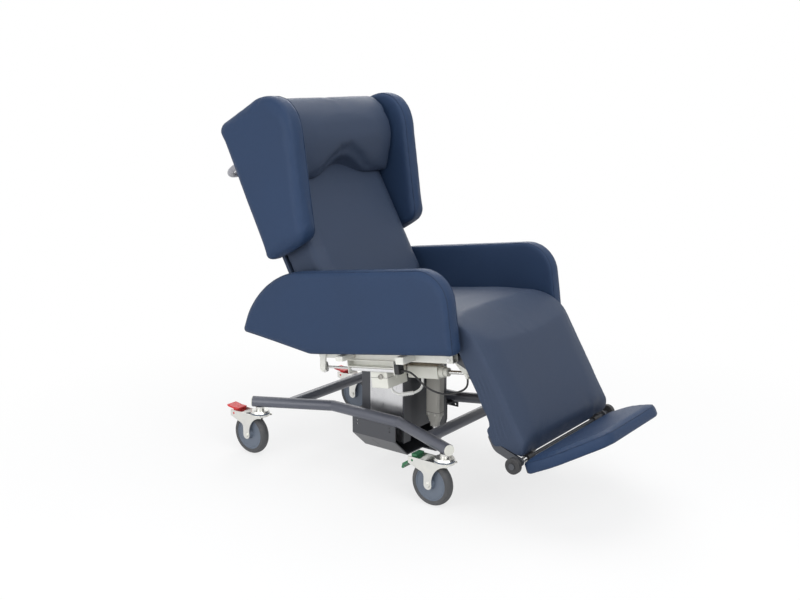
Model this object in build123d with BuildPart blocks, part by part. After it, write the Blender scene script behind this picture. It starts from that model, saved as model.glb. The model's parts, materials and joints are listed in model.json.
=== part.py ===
"""Care chair: castor base with a lifting mast, tilting seat, reclining back, legrest and footplate.

Millimetres.  The chair faces -Y, +X is the occupant's left hand and +Z is up.
The origin lies on the floor under the middle of the whole chair.
"""
import os
from math import asin, atan2, cos, degrees, hypot, pi, radians, sin, sqrt, tan

from build123d import *

os.makedirs("parts", exist_ok=True)

# Clearances
run_gap = 0.08  # radial, pins and rods that turn or slide
seat_gap = 0.05  # radial, pins held in a plate
soft_gap = 1.5  # upholstery that passes other upholstery
touch_gap = 0.3  # upholstery that rests on its frame
slide_gap = 0.5  # column in the mast

# Castor base
base_y = 147.0  # middle of the castor base, behind the origin
tube_d = 38.1
tube_wall = 2.0
rail_z = 202.0
rail_mid_x = 175.0
rail_bend_front = -130.0
rail_bend_rear = 165.0
rail_front_x = 290.0
rail_front_y = -410.0
rail_rear_x = 310.0
rail_rear_y = 425.0
cross_front_y = -291.0
cross_rear_y = 305.0
cap_t = 3.0
cap_plug = 12.0

# Folded pan that hangs between the rails
pan_t = 4.0
pan_near_x = 180.0
pan_bottom_z = 62.0
pan_fold_z = 126.0
pan_bevel = 70.0
pan_far_bevel = 36.0
pan_front = -114.0
pan_rear = 72.0
pan_flange_x = 188.0
pan_hole_r = 2.75
pan_hole_z = 167.0
pan_hole_y = -19.0
pan_hole_step_y = 142.0
pan_hole_step_z = 12.0
tab_front = -132.0
tab_rear = -86.0
tab_drop = 19.0
tab_hole_r = 3.5

# Mast and lift
mast_half = 128.0
mast_front = -112.0
mast_rear = 70.0
mast_t = 4.0
mast_lip = 41.0
mast_foot_z = 108.0
mast_foot_front = -60.0
mast_top_z = 346.0
cover_t = 1.5
cover_front = -108.0
cover_rear = 32.0
cover_low_z = 112.0
column_front = -95.0
column_wall = 4.0
column_low_z = 132.0
column_half = 112.0
glide_low_z = 152.0
glide_w = 22.0
column_top_z = 372.0
head_t = 6.0
shelf_z = 150.0
lift_y = -152.0
lift_box_x = 40.0
lift_box_y = 56.0
lift_box_low_z = 186.0
lift_box_top_z = 392.0
lift_neck_z = 162.0
lift_collar_z = 148.0
lift_collar_d = 34.0
lift_rod_d = 22.0
lift_rod_top_z = 348.0
lift_foot_z = 88.0
lift_drop = 20.0
foot_ear_gap = 26.0
ear_t = 5.0
pin_d = 10.0
lift_arm_low_z = 300.0
lift_arm_top_z = 356.0

# Castors
wheel_d = 150.0
tyre_w = 34.0
disc_d = 114.0
disc_w = 28.0
castor_trail = 45.0
stem_inset = 25.0
stem_d = 12.0
stem_collar_d = 30.0
head_d = 68.0
head_low_z = 154.0
head_top_z = 171.0
fork_gap = 52.0
fork_t = 3.0
fork_boss_r = 15.0
fork_tail = 122.0
fork_top_z = 156.0
axle_d = 10.0
pedal_pivot_y = 106.0
pedal_pivot_z = 145.0
pedal_pin_d = 8.0
pedal_w = 42.0

# Seat frame, measured in the seat's own slope: a runs rearward, b is up from the seat top
seat_y = -126.0
seat_z = 596.0
seat_lean = 7.5
rail_x = 247.0
rail_w = 30.0
rail_h = 40.0
rail_t = 2.5
rail_top_b = -117.0
rail_front_a = -258.0
rail_rear_a = 296.0
cross_a = (-195.0, 92.0, 181.0, 279.0)
cross_w = 30.0
board_t = 12.0
arm_gap = 290.0
seat_side_gap = 3.0
leg_side_gap = 4.0
arm_t = 57.0
arm_top_b = 155.5
arm_bottom_b = -122.0
arm_front_a = -324.0
arm_tip_a = 581.0
arm_tip_b = -60.0
arm_shoulder_a = 490.0
arm_heel_a = 268.0
arm_heel_b = -137.5
bracket_a = (-100.0, 150.0)
bracket_s = 30.0

# Tilt
tilt_y = 30.0
tilt_z = 395.0
tilt_pin_d = 16.0
tilt_ear_x = 84.0
tilt_ear_t = 8.0
tilt_lug_gap = 1.0
tilt_lug_t = 6.0
tilt_rod_b = -183.0
tilt_rod_d = 16.0
tilt_body_d = 48.0
tilt_body_top_z = 330.0
tilt_yoke_t = 18.0
tilt_slot = 30.0
tilt_slack = 1.0

# Back
back_a = 258.0
back_b = -73.0
back_lean = 29.0
back_pin_d = 12.0
back_front = 105.0
back_bow = 5.0
back_rear = 10.0
back_half = 264.0
back_foot_half = 249.0
back_foot_u = 120.0
back_top = 785.0
back_tube_d = 25.0
back_tube_wall = 2.0
back_tube_x = 239.5
back_panel_t = 12.0
back_panel_low = 60.0
back_panel_r = 30.0
back_tube_end = 60.0
back_plate_gap = 2.0
back_plate_x = rail_x + rail_w / 2 + back_plate_gap
back_plate_t = 6.0
wing_side_gap = 4.0
wing_t = 76.0
wing_in = back_half + wing_side_gap
wing_out = wing_in + wing_t
wing_low = 292.0
wing_top = 797.0
wing_rear = 55.0
wing_rear_top = 32.0
wing_nose_low = 150.0
wing_nose_top = 346.0
wing_radii = (36.0, 40.0, 134.0, 54.0)
wing_edge_out = 22.0
wing_edge_in = 32.0
pillow_side_gap = 1.0
pillow_half = back_half - pillow_side_gap
pillow_low = 456.0
pillow_top = 792.0
pillow_front = 226.0
pillow_arch_r = 146.0
pillow_arch_u = 536.0
handle_d = 22.0
handle_x = 232.0
handle_u = 682.0
handle_reach = 182.0
handle_bend = 45.0

# Recline lock
recline_up = 14.0
recline_back = 36.0
lock_x = 256.0
lock_b = -190.0
lock_tube_d = 16.0
lock_tube_front = -24.0
lock_tube_rear = 167.0
lock_rod_d = 9.0
lock_rod_in = 64.0
lever_t = 6.0
yoke_t = 10.0
yoke_slack = 1.6
channel_w = 30.0
channel_h = 30.0
channel_t = 2.5
channel_front = -30.0
channel_rear = 166.0
lock_head_l = 18.0
lock_nose_l = 5.0
lock_head_h = 34.0
lock_head_w = 28.0

# Legrest
leg_a = -242.0
leg_b = -147.0
leg_lean = 29.5
leg_down = 24.0
leg_up = 45.0
leg_rod_d = 14.0
leg_sleeve_d = 24.0
leg_front = 128.0
leg_roll_in = 66.0
leg_roll_start = 12.0
leg_back = 62.0
leg_half = arm_gap - leg_side_gap
leg_bulge = 11.0
leg_low_front = 348.0
leg_low_back = 286.0
leg_pan_t = 10.0
leg_bar_x = 216.0
leg_link_x = 270.0
leg_strip_h = 40.0
leg_bar_t = 8.0
leg_bar_h = 26.0
leg_lever = 82.0
leg_pin_d = 8.0
leg_plate_t = 5.0
leg_bar_q = -48.0
leg_eye_a = 30.0
leg_act_x = -120.0
leg_act_rod_d = 13.0
leg_act_box = 44.0
leg_act_front = -106.0
leg_act_rear = 16.0
leg_nose_front = -137.0
leg_yoke_t = 14.0
leg_yoke_slack = 2.4

# Footplate
foot_u = -364.0
foot_q = -104.0
foot_slope = 27.0
foot_rod_d = 12.0
foot_half = 288.0
foot_near = 16.0
foot_depth = 258.0
foot_front_half = 178.0
foot_side = 112.0
foot_corner_r = 78.0
foot_pad_t = 24.0
foot_board_t = 10.0
foot_pad_top = -2.0
knuckle_d = 24.0
knuckle_x = 200.0
knuckle_w = 36.0
roller_d = 50.0
roller_w = 18.0
roller_x = 302.0
spring_wire = 2.2
spring_d = foot_rod_d + spring_wire + 0.6
spring_pitch = 3.4
spring_turns = 6
spring_x = -262.0

# Control box and leads
box_x = -245.0
box_w = 108.0
box_front_a = 23.0
box_l = 70.0
box_top_b = -199.0
box_h = 58.0
cable_d = 6.5
lead_d = 9.0


def side_plane(y, z, lean):
    """Upright plane across the chair: local x runs rearward and local y leans back by the angle."""
    return Plane(
        origin=(0, y, z), x_dir=(0, cos(radians(lean)), -sin(radians(lean))), z_dir=(1, 0, 0)
    )


def spot(plane, a, b, x=0.0):
    """World point of local a and b on a side plane, at the given X."""
    return plane.from_local_coords(Vector(a, b, x))


def across(plane, a, b, x=0.0):
    """Plane square to X with its origin at a local point of a side plane."""
    return Plane(origin=spot(plane, a, b, x), x_dir=plane.x_dir, z_dir=(1, 0, 0))


def keep(piece, name):
    """Label a finished piece and write its STEP file."""
    piece.part.label = name
    export_step(piece.part, f"parts/{name}.step")


seat = side_plane(base_y + seat_y, seat_z, seat_lean)
back_hinge = spot(seat, back_a, back_b)
back = side_plane(back_hinge.Y, back_hinge.Z, back_lean)
leg_hinge = spot(seat, leg_a, leg_b)
leg = side_plane(leg_hinge.Y, leg_hinge.Z, leg_lean)
foot_hinge = spot(leg, foot_q, foot_u)
foot = side_plane(foot_hinge.Y, foot_hinge.Z, foot_slope)
foot_top = Plane(origin=foot_hinge, x_dir=(1, 0, 0), z_dir=foot.y_dir)
tilt_axis = Vector(0, base_y + tilt_y, tilt_z)


def rail_points(side):
    """Corners of one side rail's centre line, front to rear."""
    return [
        Vector(side * rail_front_x, base_y + rail_front_y, rail_z),
        Vector(side * rail_mid_x, base_y + rail_bend_front, rail_z),
        Vector(side * rail_mid_x, base_y + rail_bend_rear, rail_z),
        Vector(side * rail_rear_x, base_y + rail_rear_y, rail_z),
    ]


def rail_ends(side):
    """End point and outward direction of one side rail, front then rear."""
    first, second, third, last = rail_points(side)
    return [(first, (first - second).normalized()), (last, (last - third).normalized())]


corner_names = {(-1, 0): "front_right", (1, 0): "front_left", (-1, 1): "rear_right", (1, 1): "rear_left"}
swivels = {
    corner_names[side, end]: point - way * stem_inset
    for side in (-1, 1)
    for end, (point, way) in enumerate(rail_ends(side))
}


def sweep_rail(side, radius, mode=Mode.ADD):
    """Sweep a round section along one side rail, mitred at its corners."""
    with BuildLine() as path:
        Polyline(*rail_points(side))
    with BuildSketch(Plane(origin=path.line @ 0, z_dir=path.line % 0)) as section:
        Circle(radius)
    sweep(section.sketch, path=path.line, transition=Transition.RIGHT, mode=mode)


# Side rails
with BuildPart() as rail_envelope:
    for side in (-1, 1):
        sweep_rail(side, tube_d / 2)

for side, name in ((-1, "side_rail_right"), (1, "side_rail_left")):
    with BuildPart() as side_rail:
        sweep_rail(side, tube_d / 2)
        sweep_rail(side, tube_d / 2 - tube_wall, Mode.SUBTRACT)
        for corner in ("front", "rear"):
            centre = swivels[f"{corner}_{'left' if side > 0 else 'right'}"]
            with Locations((centre.X, centre.Y, rail_z - tube_d / 2)):
                Cylinder(stem_d / 2 + seat_gap, tube_d / 2, mode=Mode.SUBTRACT)
    keep(side_rail, name)

# Cross tubes, coped to the rails
with BuildPart() as cross_tubes:
    for y in (cross_front_y, cross_rear_y):
        reach = rail_front_x if y < 0 else rail_rear_x
        with BuildSketch(Plane.YZ.offset(-reach)):
            with Locations((base_y + y, rail_z)):
                Circle(tube_d / 2)
                Circle(tube_d / 2 - tube_wall, mode=Mode.SUBTRACT)
        extrude(amount=2 * reach)
    add(rail_envelope.part, mode=Mode.SUBTRACT)
cross_runs = [s for s in cross_tubes.part.solids() if abs(s.center().X) < rail_mid_x / 2]
with BuildPart() as cross_tubes:
    add(cross_runs)
keep(cross_tubes, "cross_tubes")

# End plugs of the rails
with BuildPart() as rail_end_caps:
    for side in (-1, 1):
        for point, way in rail_ends(side):
            with BuildSketch(Plane(origin=point, z_dir=way)):
                Circle(tube_d / 2 - 1)
            extrude(amount=cap_t)
            with BuildSketch(Plane(origin=point, z_dir=way)):
                Circle(tube_d / 2 - tube_wall - seat_gap)
            extrude(amount=-cap_plug)
keep(rail_end_caps, "rail_end_caps")

# Castor stems
with BuildPart() as castor_stems:
    for centre in swivels.values():
        tube_low = rail_z - tube_d / 2
        with BuildSketch(Plane.XY.offset(head_top_z + 0.3)) as collar:
            with Locations((centre.X, centre.Y)):
                Circle(stem_collar_d / 2)
        extrude(amount=tube_low - head_top_z - 0.3 + tube_wall)
        with BuildSketch(Plane.XY.offset(head_low_z + 4)):
            with Locations((centre.X, centre.Y)):
                Circle(stem_d / 2)
        extrude(amount=tube_low + 2 * tube_wall - head_low_z)
    add(rail_envelope.part, mode=Mode.SUBTRACT)
    for centre in swivels.values():
        with BuildSketch(Plane.XY.offset(rail_z - tube_d / 2 - 1)):
            with Locations((centre.X, centre.Y)):
                Circle(stem_d / 2)
        extrude(amount=3 * tube_wall)
keep(castor_stems, "castor_stems")

# Pan: one folded sheet, deeper than the rails
pan_points = [
    (-pan_near_x, rail_z),
    (-pan_near_x, pan_fold_z),
    (-pan_near_x + pan_bevel, pan_bottom_z),
    (mast_half + pan_t - pan_far_bevel, pan_bottom_z),
    (mast_half + pan_t, pan_fold_z),
    (mast_half + pan_t, rail_z - tube_d / 2),
]
pan_sheet = Plane.XZ.offset(-(base_y + pan_rear))
pan_length = pan_rear - pan_front
with BuildPart() as pan_room:
    with BuildSketch(pan_sheet):
        with BuildLine():
            sheet = Polyline(*pan_points)
            offset(amount=pan_t, side=Side.LEFT)
        make_face()
    extrude(amount=pan_length)
    pan_shell = pan_room.part
    with BuildSketch(pan_sheet):
        Polygon(*pan_points, (mast_half + pan_t, mast_top_z), (-pan_near_x, mast_top_z), align=None)
    extrude(amount=pan_length)
    add(pan_shell, mode=Mode.SUBTRACT)
ear_x = foot_ear_gap / 2 + ear_t / 2
with BuildPart() as base_pan:
    add(pan_shell)
    with BuildSketch(pan_sheet):
        with Locations(((mast_half + pan_t + pan_flange_x) / 2, rail_z - tube_d / 2 - pan_t / 2)):
            Rectangle(pan_flange_x - mast_half - pan_t, pan_t)
    extrude(amount=pan_length)
    with Locations((rail_mid_x, base_y + (tab_front + tab_rear) / 2, rail_z - (tube_d + tab_drop) / 2)):
        Box(pan_t, tab_rear - tab_front, tab_drop)
    with BuildSketch(Plane.YZ.offset(rail_mid_x - pan_t)):
        with Locations((base_y + (tab_front + tab_rear) / 2, rail_z - tube_d / 2 - tab_drop / 2 - 1)):
            with GridLocations((tab_rear - tab_front) / 2, 0, 2, 1):
                Circle(tab_hole_r)
    extrude(amount=2 * pan_t, mode=Mode.SUBTRACT)
    with Locations((0, base_y + (pan_front + lift_y) / 2 - 4, pan_bottom_z + pan_t / 2)):
        Box(2 * ear_x + 2 * ear_t, pan_front - lift_y + 32, pan_t)
    with BuildSketch(Plane.YZ.offset(-ear_x - ear_t / 2)):
        with Locations((base_y + lift_y, pan_bottom_z + pan_t)):
            Rectangle(2.6 * pin_d, 1, align=(Align.CENTER, Align.MIN))
        with Locations((base_y + lift_y, lift_foot_z)):
            Circle(1.3 * pin_d)
        make_hull()
        with Locations((base_y + lift_y, lift_foot_z)):
            Circle(pin_d / 2 + seat_gap, mode=Mode.SUBTRACT)
    extrude(amount=2 * ear_x + ear_t)
    with Locations((0, base_y + lift_y, pan_bottom_z + pan_t)):
        Box(foot_ear_gap, 4 * pin_d, 8 * pin_d, align=(Align.CENTER, Align.CENTER, Align.MIN), mode=Mode.SUBTRACT)
    near_wall = Plane(origin=(-pan_near_x, base_y + pan_hole_y, pan_hole_z), x_dir=(0, -1, 0), z_dir=(-1, 0, 0))
    with BuildSketch(near_wall):
        with GridLocations(pan_hole_step_y, pan_hole_step_z, 2, 2):
            Circle(pan_hole_r)
    extrude(amount=-pan_t, mode=Mode.SUBTRACT)
    add(rail_envelope.part, mode=Mode.SUBTRACT)
keep(base_pan, "base_pan")

# Mast: lipped channel that stands in the pan
mast_profile = [
    (-mast_half + mast_lip, base_y + mast_front),
    (-mast_half, base_y + mast_front),
    (-mast_half, base_y + mast_rear),
    (mast_half, base_y + mast_rear),
    (mast_half, base_y + mast_front),
    (mast_half - mast_lip, base_y + mast_front),
]
with BuildPart() as mast_channel:
    with BuildSketch(Plane.XY.offset(pan_bottom_z)):
        with BuildLine():
            Polyline(*mast_profile)
            offset(amount=mast_t, side=Side.RIGHT)
        make_face()
    extrude(amount=mast_top_z - pan_bottom_z)
    add(pan_room.part, mode=Mode.INTERSECT)
    foot_cut = mast_foot_front - mast_front
    with Locations((0, base_y + mast_front, mast_foot_z)):
        Box(
            4 * mast_half,
            2 * foot_cut,
            2 * foot_cut,
            align=(Align.CENTER, Align.CENTER, Align.MAX),
            mode=Mode.SUBTRACT,
        )
keep(mast_channel, "mast_channel")

# Bright covers on the mast's sides
with BuildPart() as mast_side_covers:
    for side in (-1, 1):
        low = cover_low_z if side < 0 else rail_z - tube_d / 2 + 3
        with Locations(
            (side * (mast_half + cover_t / 2), base_y + (cover_front + cover_rear) / 2, (low + mast_top_z) / 2)
        ):
            Box(cover_t, cover_rear - cover_front, mast_top_z - low)
keep(mast_side_covers, "mast_side_covers")

# Lift rod with its eye and pin
with BuildPart() as lift_rod:
    with BuildSketch(Plane.XY.offset(lift_foot_z)):
        with Locations((0, base_y + lift_y)):
            Circle(lift_rod_d / 2)
    extrude(amount=lift_rod_top_z - lift_foot_z)
    with BuildSketch(Plane.YZ):
        with Locations((base_y + lift_y, lift_foot_z)):
            Circle(1.2 * pin_d)
    extrude(amount=foot_ear_gap / 2 - 1, both=True)
    with BuildSketch(Plane.YZ):
        with Locations((base_y + lift_y, lift_foot_z)):
            Circle(pin_d / 2 + seat_gap)
    extrude(amount=foot_ear_gap, both=True, mode=Mode.SUBTRACT)
    with BuildSketch(Plane.YZ):
        with Locations((base_y + lift_y, lift_foot_z)):
            Circle(pin_d / 2)
    extrude(amount=foot_ear_gap / 2 + ear_t + 3, both=True)
keep(lift_rod, "lift_rod")

# Inner column with its head, tilt ears and the arm to the lift actuator
column_x = column_half
glide_x = mast_half - mast_t - slide_gap
column_rear = mast_rear - mast_t - slide_gap
column_mid = base_y + (column_front + column_rear) / 2
column_depth = column_rear - column_front
tilt_rod_y = spot(seat, cross_a[1], tilt_rod_b).Y
with BuildPart() as lift_column:
    with BuildSketch(Plane.XY.offset(column_low_z)):
        with Locations((0, column_mid)):
            Rectangle(2 * column_x, column_depth)
            Rectangle(2 * (column_x - column_wall), column_depth - 2 * column_wall, mode=Mode.SUBTRACT)
    extrude(amount=column_top_z - column_low_z)
    for z, t in ((column_top_z, head_t), (shelf_z, -column_wall)):
        with BuildSketch(Plane.XY.offset(z)):
            with Locations((0, column_mid)):
                Rectangle(2 * column_x, column_depth)
        extrude(amount=t)
    with Locations((0, tilt_rod_y, column_top_z)):
        Cylinder(tilt_body_d / 2, 4 * head_t, mode=Mode.SUBTRACT)
    for side in (-1, 1):
        with BuildSketch(Plane.YZ.offset(side * tilt_ear_x)):
            with Locations((tilt_axis.Y, column_top_z + head_t)):
                Rectangle(4 * tilt_pin_d, 1, align=(Align.CENTER, Align.MIN))
            with Locations((tilt_axis.Y, tilt_axis.Z)):
                Circle(tilt_pin_d)
            make_hull()
            with Locations((tilt_axis.Y, tilt_axis.Z)):
                Circle(tilt_pin_d / 2 + run_gap, mode=Mode.SUBTRACT)
        extrude(amount=side * tilt_ear_t)
    for side in (-1, 1):
        for y in (column_front + glide_w, column_rear - glide_w):
            with Locations((side * (column_x + glide_x) / 2, base_y + y, (glide_low_z + column_top_z) / 2)):
                Box(glide_x - column_x, glide_w, column_top_z - glide_low_z)
    arm_l = column_front - lift_y - lift_box_y / 2
    with Locations((0, base_y + column_front - arm_l / 2, (lift_arm_low_z + lift_arm_top_z) / 2)):
        Box(lift_box_x + 2 * ear_t, arm_l, lift_arm_top_z - lift_arm_low_z)
        Box(lift_box_x, arm_l - 2 * ear_t, 2 * lift_arm_top_z, mode=Mode.SUBTRACT)
keep(lift_column, "lift_column")

# Lift actuator: housing that narrows to the rod
with BuildPart() as lift_actuator:
    with BuildSketch(Plane.XY.offset(lift_box_low_z)) as box_low:
        with Locations((0, base_y + lift_y)):
            Rectangle(lift_box_x, lift_box_y)
        chamfer(box_low.vertices(), length=lift_box_x / 6)
    extrude(amount=lift_box_top_z - lift_box_low_z)
    with BuildSketch(Plane.XY.offset(lift_box_low_z)) as neck_top:
        with Locations((0, base_y + lift_y)):
            Rectangle(lift_box_x - 4, lift_box_y - 4)
        chamfer(neck_top.vertices(), length=lift_box_x / 6)
    with BuildSketch(Plane.XY.offset(lift_neck_z)) as neck_low:
        with Locations((0, base_y + lift_y)):
            Rectangle(lift_collar_d - 2, lift_collar_d + 2)
        chamfer(neck_low.vertices(), length=lift_collar_d / 4)
    loft()
    with BuildSketch(Plane.XY.offset(lift_collar_z)):
        with Locations((0, base_y + lift_y)):
            Circle(lift_collar_d / 2)
    extrude(amount=lift_neck_z - lift_collar_z)
    with BuildSketch(Plane.XY.offset(lift_collar_z)):
        with Locations((0, base_y + lift_y)):
            Circle(lift_rod_d / 2 + run_gap)
    extrude(amount=lift_rod_top_z + lift_drop + 4 - lift_collar_z, mode=Mode.SUBTRACT)
keep(lift_actuator, "lift_actuator")

# Tilt actuator, hidden in the column, and its rod with a slotted yoke
tilt_pin = spot(seat, cross_a[1], tilt_rod_b)
with BuildPart() as tilt_actuator:
    with BuildSketch(Plane.XY.offset(shelf_z)):
        with Locations((0, tilt_rod_y)):
            Circle(tilt_body_d / 2)
    extrude(amount=tilt_body_top_z - shelf_z)
    with BuildSketch(Plane.XY.offset(tilt_body_top_z)):
        with Locations((0, tilt_rod_y)):
            Circle(tilt_rod_d / 2 + run_gap)
    extrude(amount=-(tilt_body_top_z - shelf_z - 20), mode=Mode.SUBTRACT)
keep(tilt_actuator, "tilt_actuator")

with BuildPart() as tilt_rod:
    with BuildSketch(Plane.XY.offset(shelf_z + 60)):
        with Locations((0, tilt_rod_y)):
            Circle(tilt_rod_d / 2)
    extrude(amount=tilt_pin.Z - pin_d - shelf_z - 60)
    with BuildSketch(Plane.YZ):
        with Locations((tilt_rod_y, tilt_pin.Z)):
            SlotOverall(tilt_slot + pin_d, 2.4 * pin_d)
            SlotOverall(tilt_slot, pin_d + 2 * tilt_slack, mode=Mode.SUBTRACT)
    extrude(amount=tilt_yoke_t / 2, both=True)
keep(tilt_rod, "tilt_rod")


# Castors: fork with its axle, wheel disc, tyre and pedal
def castor_side(centre, offset_x):
    """Plane square to the axle of the castor at a swivel centre: local x runs rearward, y is up."""
    return Plane(origin=(centre.X + offset_x, centre.Y, 0), x_dir=(0, 1, 0), z_dir=(1, 0, 0))


axle_z = wheel_d / 2
fork_x = fork_gap / 2
head_groove = 5.0
for name, centre in swivels.items():
    with BuildPart() as fork:
        with BuildSketch(castor_side(centre, -fork_x - fork_t)):
            with BuildLine():
                front_low = (castor_trail - fork_boss_r, axle_z)
                rear_low = (castor_trail + fork_boss_r, axle_z)
                rear_top = (castor_trail + fork_boss_r, axle_z + 0.32 * wheel_d / 2)
                tail_low = (castor_trail + 2.2 * fork_boss_r, axle_z + 0.58 * wheel_d / 2)
                head_front = (-head_d / 2 + 4, head_low_z - 4)
                ThreePointArc(front_low, (castor_trail, axle_z - fork_boss_r), rear_low)
                Line(rear_low, rear_top)
                ThreePointArc(
                    rear_top, (castor_trail + 1.35 * fork_boss_r, axle_z + 0.5 * wheel_d / 2), tail_low
                )
                Polyline(
                    tail_low,
                    (fork_tail, fork_top_z - 22),
                    (fork_tail, fork_top_z),
                    (head_front[0], fork_top_z),
                    head_front,
                )
                ThreePointArc(head_front, (castor_trail - 2.1 * fork_boss_r, head_low_z - 24), front_low)
            make_face()
            with Locations((castor_trail, axle_z)):
                Circle(axle_d / 2 + seat_gap, mode=Mode.SUBTRACT)
            with Locations((pedal_pivot_y, pedal_pivot_z)):
                Circle(pedal_pin_d / 2 + run_gap, mode=Mode.SUBTRACT)
        extrude(amount=fork_t)
        mirror(about=Plane.YZ.offset(centre.X))
        with BuildSketch(Plane(origin=(centre.X, centre.Y, 0), x_dir=(1, 0, 0), z_dir=(0, -1, 0))):
            with BuildLine():
                Polyline(
                    (0, head_low_z - 2),
                    (head_d / 2, head_low_z - 2),
                    (head_d / 2, head_low_z + 5),
                    (head_d / 2 - 3, head_low_z + 5),
                    (head_d / 2 - 3, head_low_z + 5 + head_groove),
                    (head_d / 2, head_low_z + 5 + head_groove),
                    (head_d / 2 - 4, head_top_z),
                    (0, head_top_z),
                    close=True,
                )
            make_face()
        revolve(axis=Axis((centre.X, centre.Y, 0), (0, 0, 1)))
        with BuildSketch(Plane.XY.offset(head_low_z + 3)):
            with Locations((centre.X, centre.Y)):
                Circle(stem_d / 2 + run_gap)
        extrude(amount=head_top_z - head_low_z, mode=Mode.SUBTRACT)
        with BuildSketch(castor_side(centre, -fork_x - fork_t)):
            with Locations((castor_trail, axle_z)):
                Circle(axle_d / 2)
        extrude(amount=2 * fork_x + 2 * fork_t)
        for end in (-1, 1):
            with BuildSketch(castor_side(centre, end * (fork_x + fork_t))):
                with Locations((castor_trail, axle_z)):
                    RegularPolygon(0.85 * axle_d, 6)
            extrude(amount=end * 4)
    keep(fork, f"castor_{name}_fork")

    hub_line = Axis((centre.X, centre.Y + castor_trail, axle_z), (1, 0, 0))
    wheel_side = Plane(origin=(centre.X, centre.Y + castor_trail, axle_z), x_dir=(1, 0, 0), z_dir=(0, -1, 0))
    with BuildPart() as disc:
        with BuildSketch(wheel_side):
            with BuildLine():
                Polyline(
                    (-fork_x + 0.6, axle_d / 2 + run_gap),
                    (fork_x - 0.6, axle_d / 2 + run_gap),
                    (fork_x - 0.6, 1.4 * axle_d),
                    (disc_w / 2 - 3, 1.7 * axle_d),
                    (disc_w / 2 - 3, disc_d / 2 - 6),
                    (disc_w / 2, disc_d / 2 - 3),
                    (disc_w / 2, disc_d / 2),
                    (-disc_w / 2, disc_d / 2),
                    (-disc_w / 2, disc_d / 2 - 3),
                    (-disc_w / 2 + 3, disc_d / 2 - 6),
                    (-disc_w / 2 + 3, 1.7 * axle_d),
                    (-fork_x + 0.6, 1.4 * axle_d),
                    close=True,
                )
            make_face()
        revolve(axis=hub_line)
    keep(disc, f"castor_{name}_wheel")

    with BuildPart() as tyre:
        with BuildSketch(wheel_side):
            with BuildLine():
                low = disc_d / 2 + seat_gap
                shoulder = wheel_d / 2 - 8
                Line((-tyre_w / 2 + 2, low), (tyre_w / 2 - 2, low))
                Line((tyre_w / 2 - 2, low), (tyre_w / 2, shoulder))
                ThreePointArc((tyre_w / 2, shoulder), (0, wheel_d / 2), (-tyre_w / 2, shoulder))
                Line((-tyre_w / 2, shoulder), (-tyre_w / 2 + 2, low))
            make_face()
        revolve(axis=hub_line)
    keep(tyre, f"castor_{name}_tyre")

    with BuildPart() as pedal:
        with BuildSketch(castor_side(centre, -pedal_w / 2)):
            with Locations((pedal_pivot_y, pedal_pivot_z)):
                Circle(0.8 * pedal_pin_d)
            with BuildLine():
                tail = fork_tail + 26
                if name.startswith("rear"):
                    Polyline(
                        (pedal_pivot_y - 5, pedal_pivot_z),
                        (pedal_pivot_y + 5, pedal_pivot_z),
                        (pedal_pivot_y + 9, fork_top_z + 1),
                        (tail - 4, fork_top_z + 5),
                        (tail, fork_top_z + 10),
                        (tail - 3, fork_top_z + 13),
                        (pedal_pivot_y + 6, fork_top_z + 8),
                        (pedal_pivot_y - 16, fork_top_z + 8),
                        (pedal_pivot_y - 16, fork_top_z + 2),
                        (pedal_pivot_y - 5, fork_top_z + 1),
                        close=True,
                    )
                else:
                    Polyline(
                        (pedal_pivot_y - 5, pedal_pivot_z),
                        (pedal_pivot_y + 4, pedal_pivot_z - 4),
                        (tail - 6, pedal_pivot_z - 28),
                        (tail, pedal_pivot_z - 40),
                        (tail + 6, pedal_pivot_z - 38),
                        (tail + 2, pedal_pivot_z - 22),
                        (pedal_pivot_y + 6, pedal_pivot_z + 2),
                        (pedal_pivot_y + 8, fork_top_z + 8),
                        (pedal_pivot_y - 12, fork_top_z + 8),
                        (pedal_pivot_y - 12, fork_top_z + 2),
                        (pedal_pivot_y - 5, fork_top_z + 1),
                        close=True,
                    )
            make_face()
        extrude(amount=pedal_w)
        with BuildSketch(castor_side(centre, -fork_x - fork_t)):
            with Locations((pedal_pivot_y, pedal_pivot_z)):
                Circle(pedal_pin_d / 2)
        extrude(amount=2 * fork_x + 2 * fork_t)
    keep(pedal, f"castor_{name}_pedal")

# Seat side rails: square tube on each side
rail_mid_b = rail_top_b - rail_h / 2
with BuildPart() as seat_side_rails:
    for side in (-1, 1):
        mouth = Plane(origin=spot(seat, rail_front_a, rail_mid_b, side * rail_x), x_dir=(1, 0, 0), z_dir=seat.x_dir)
        with BuildSketch(mouth):
            Rectangle(rail_w, rail_h)
            Rectangle(rail_w - 2 * rail_t, rail_h - 2 * rail_t, mode=Mode.SUBTRACT)
        extrude(amount=rail_rear_a - rail_front_a)
        ear_low = rail_top_b - 1
        with BuildSketch(across(seat, 0, 0, side * (rail_x + rail_w / 2))):
            with Locations((back_a, ear_low)):
                Rectangle(5 * back_pin_d, 1, align=(Align.CENTER, Align.MIN))
            with Locations((back_a, back_b)):
                Circle(1.3 * back_pin_d)
            make_hull()
        extrude(amount=-side * ear_t)
    with BuildSketch(across(seat, leg_a, leg_b, -2 * rail_x)):
        Circle(leg_rod_d / 2 + seat_gap)
    extrude(amount=4 * rail_x, mode=Mode.SUBTRACT)
    with BuildSketch(across(seat, back_a, back_b, -2 * rail_x)):
        Circle(back_pin_d / 2 + seat_gap)
    extrude(amount=4 * rail_x, mode=Mode.SUBTRACT)
keep(seat_side_rails, "seat_side_rails")

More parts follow.
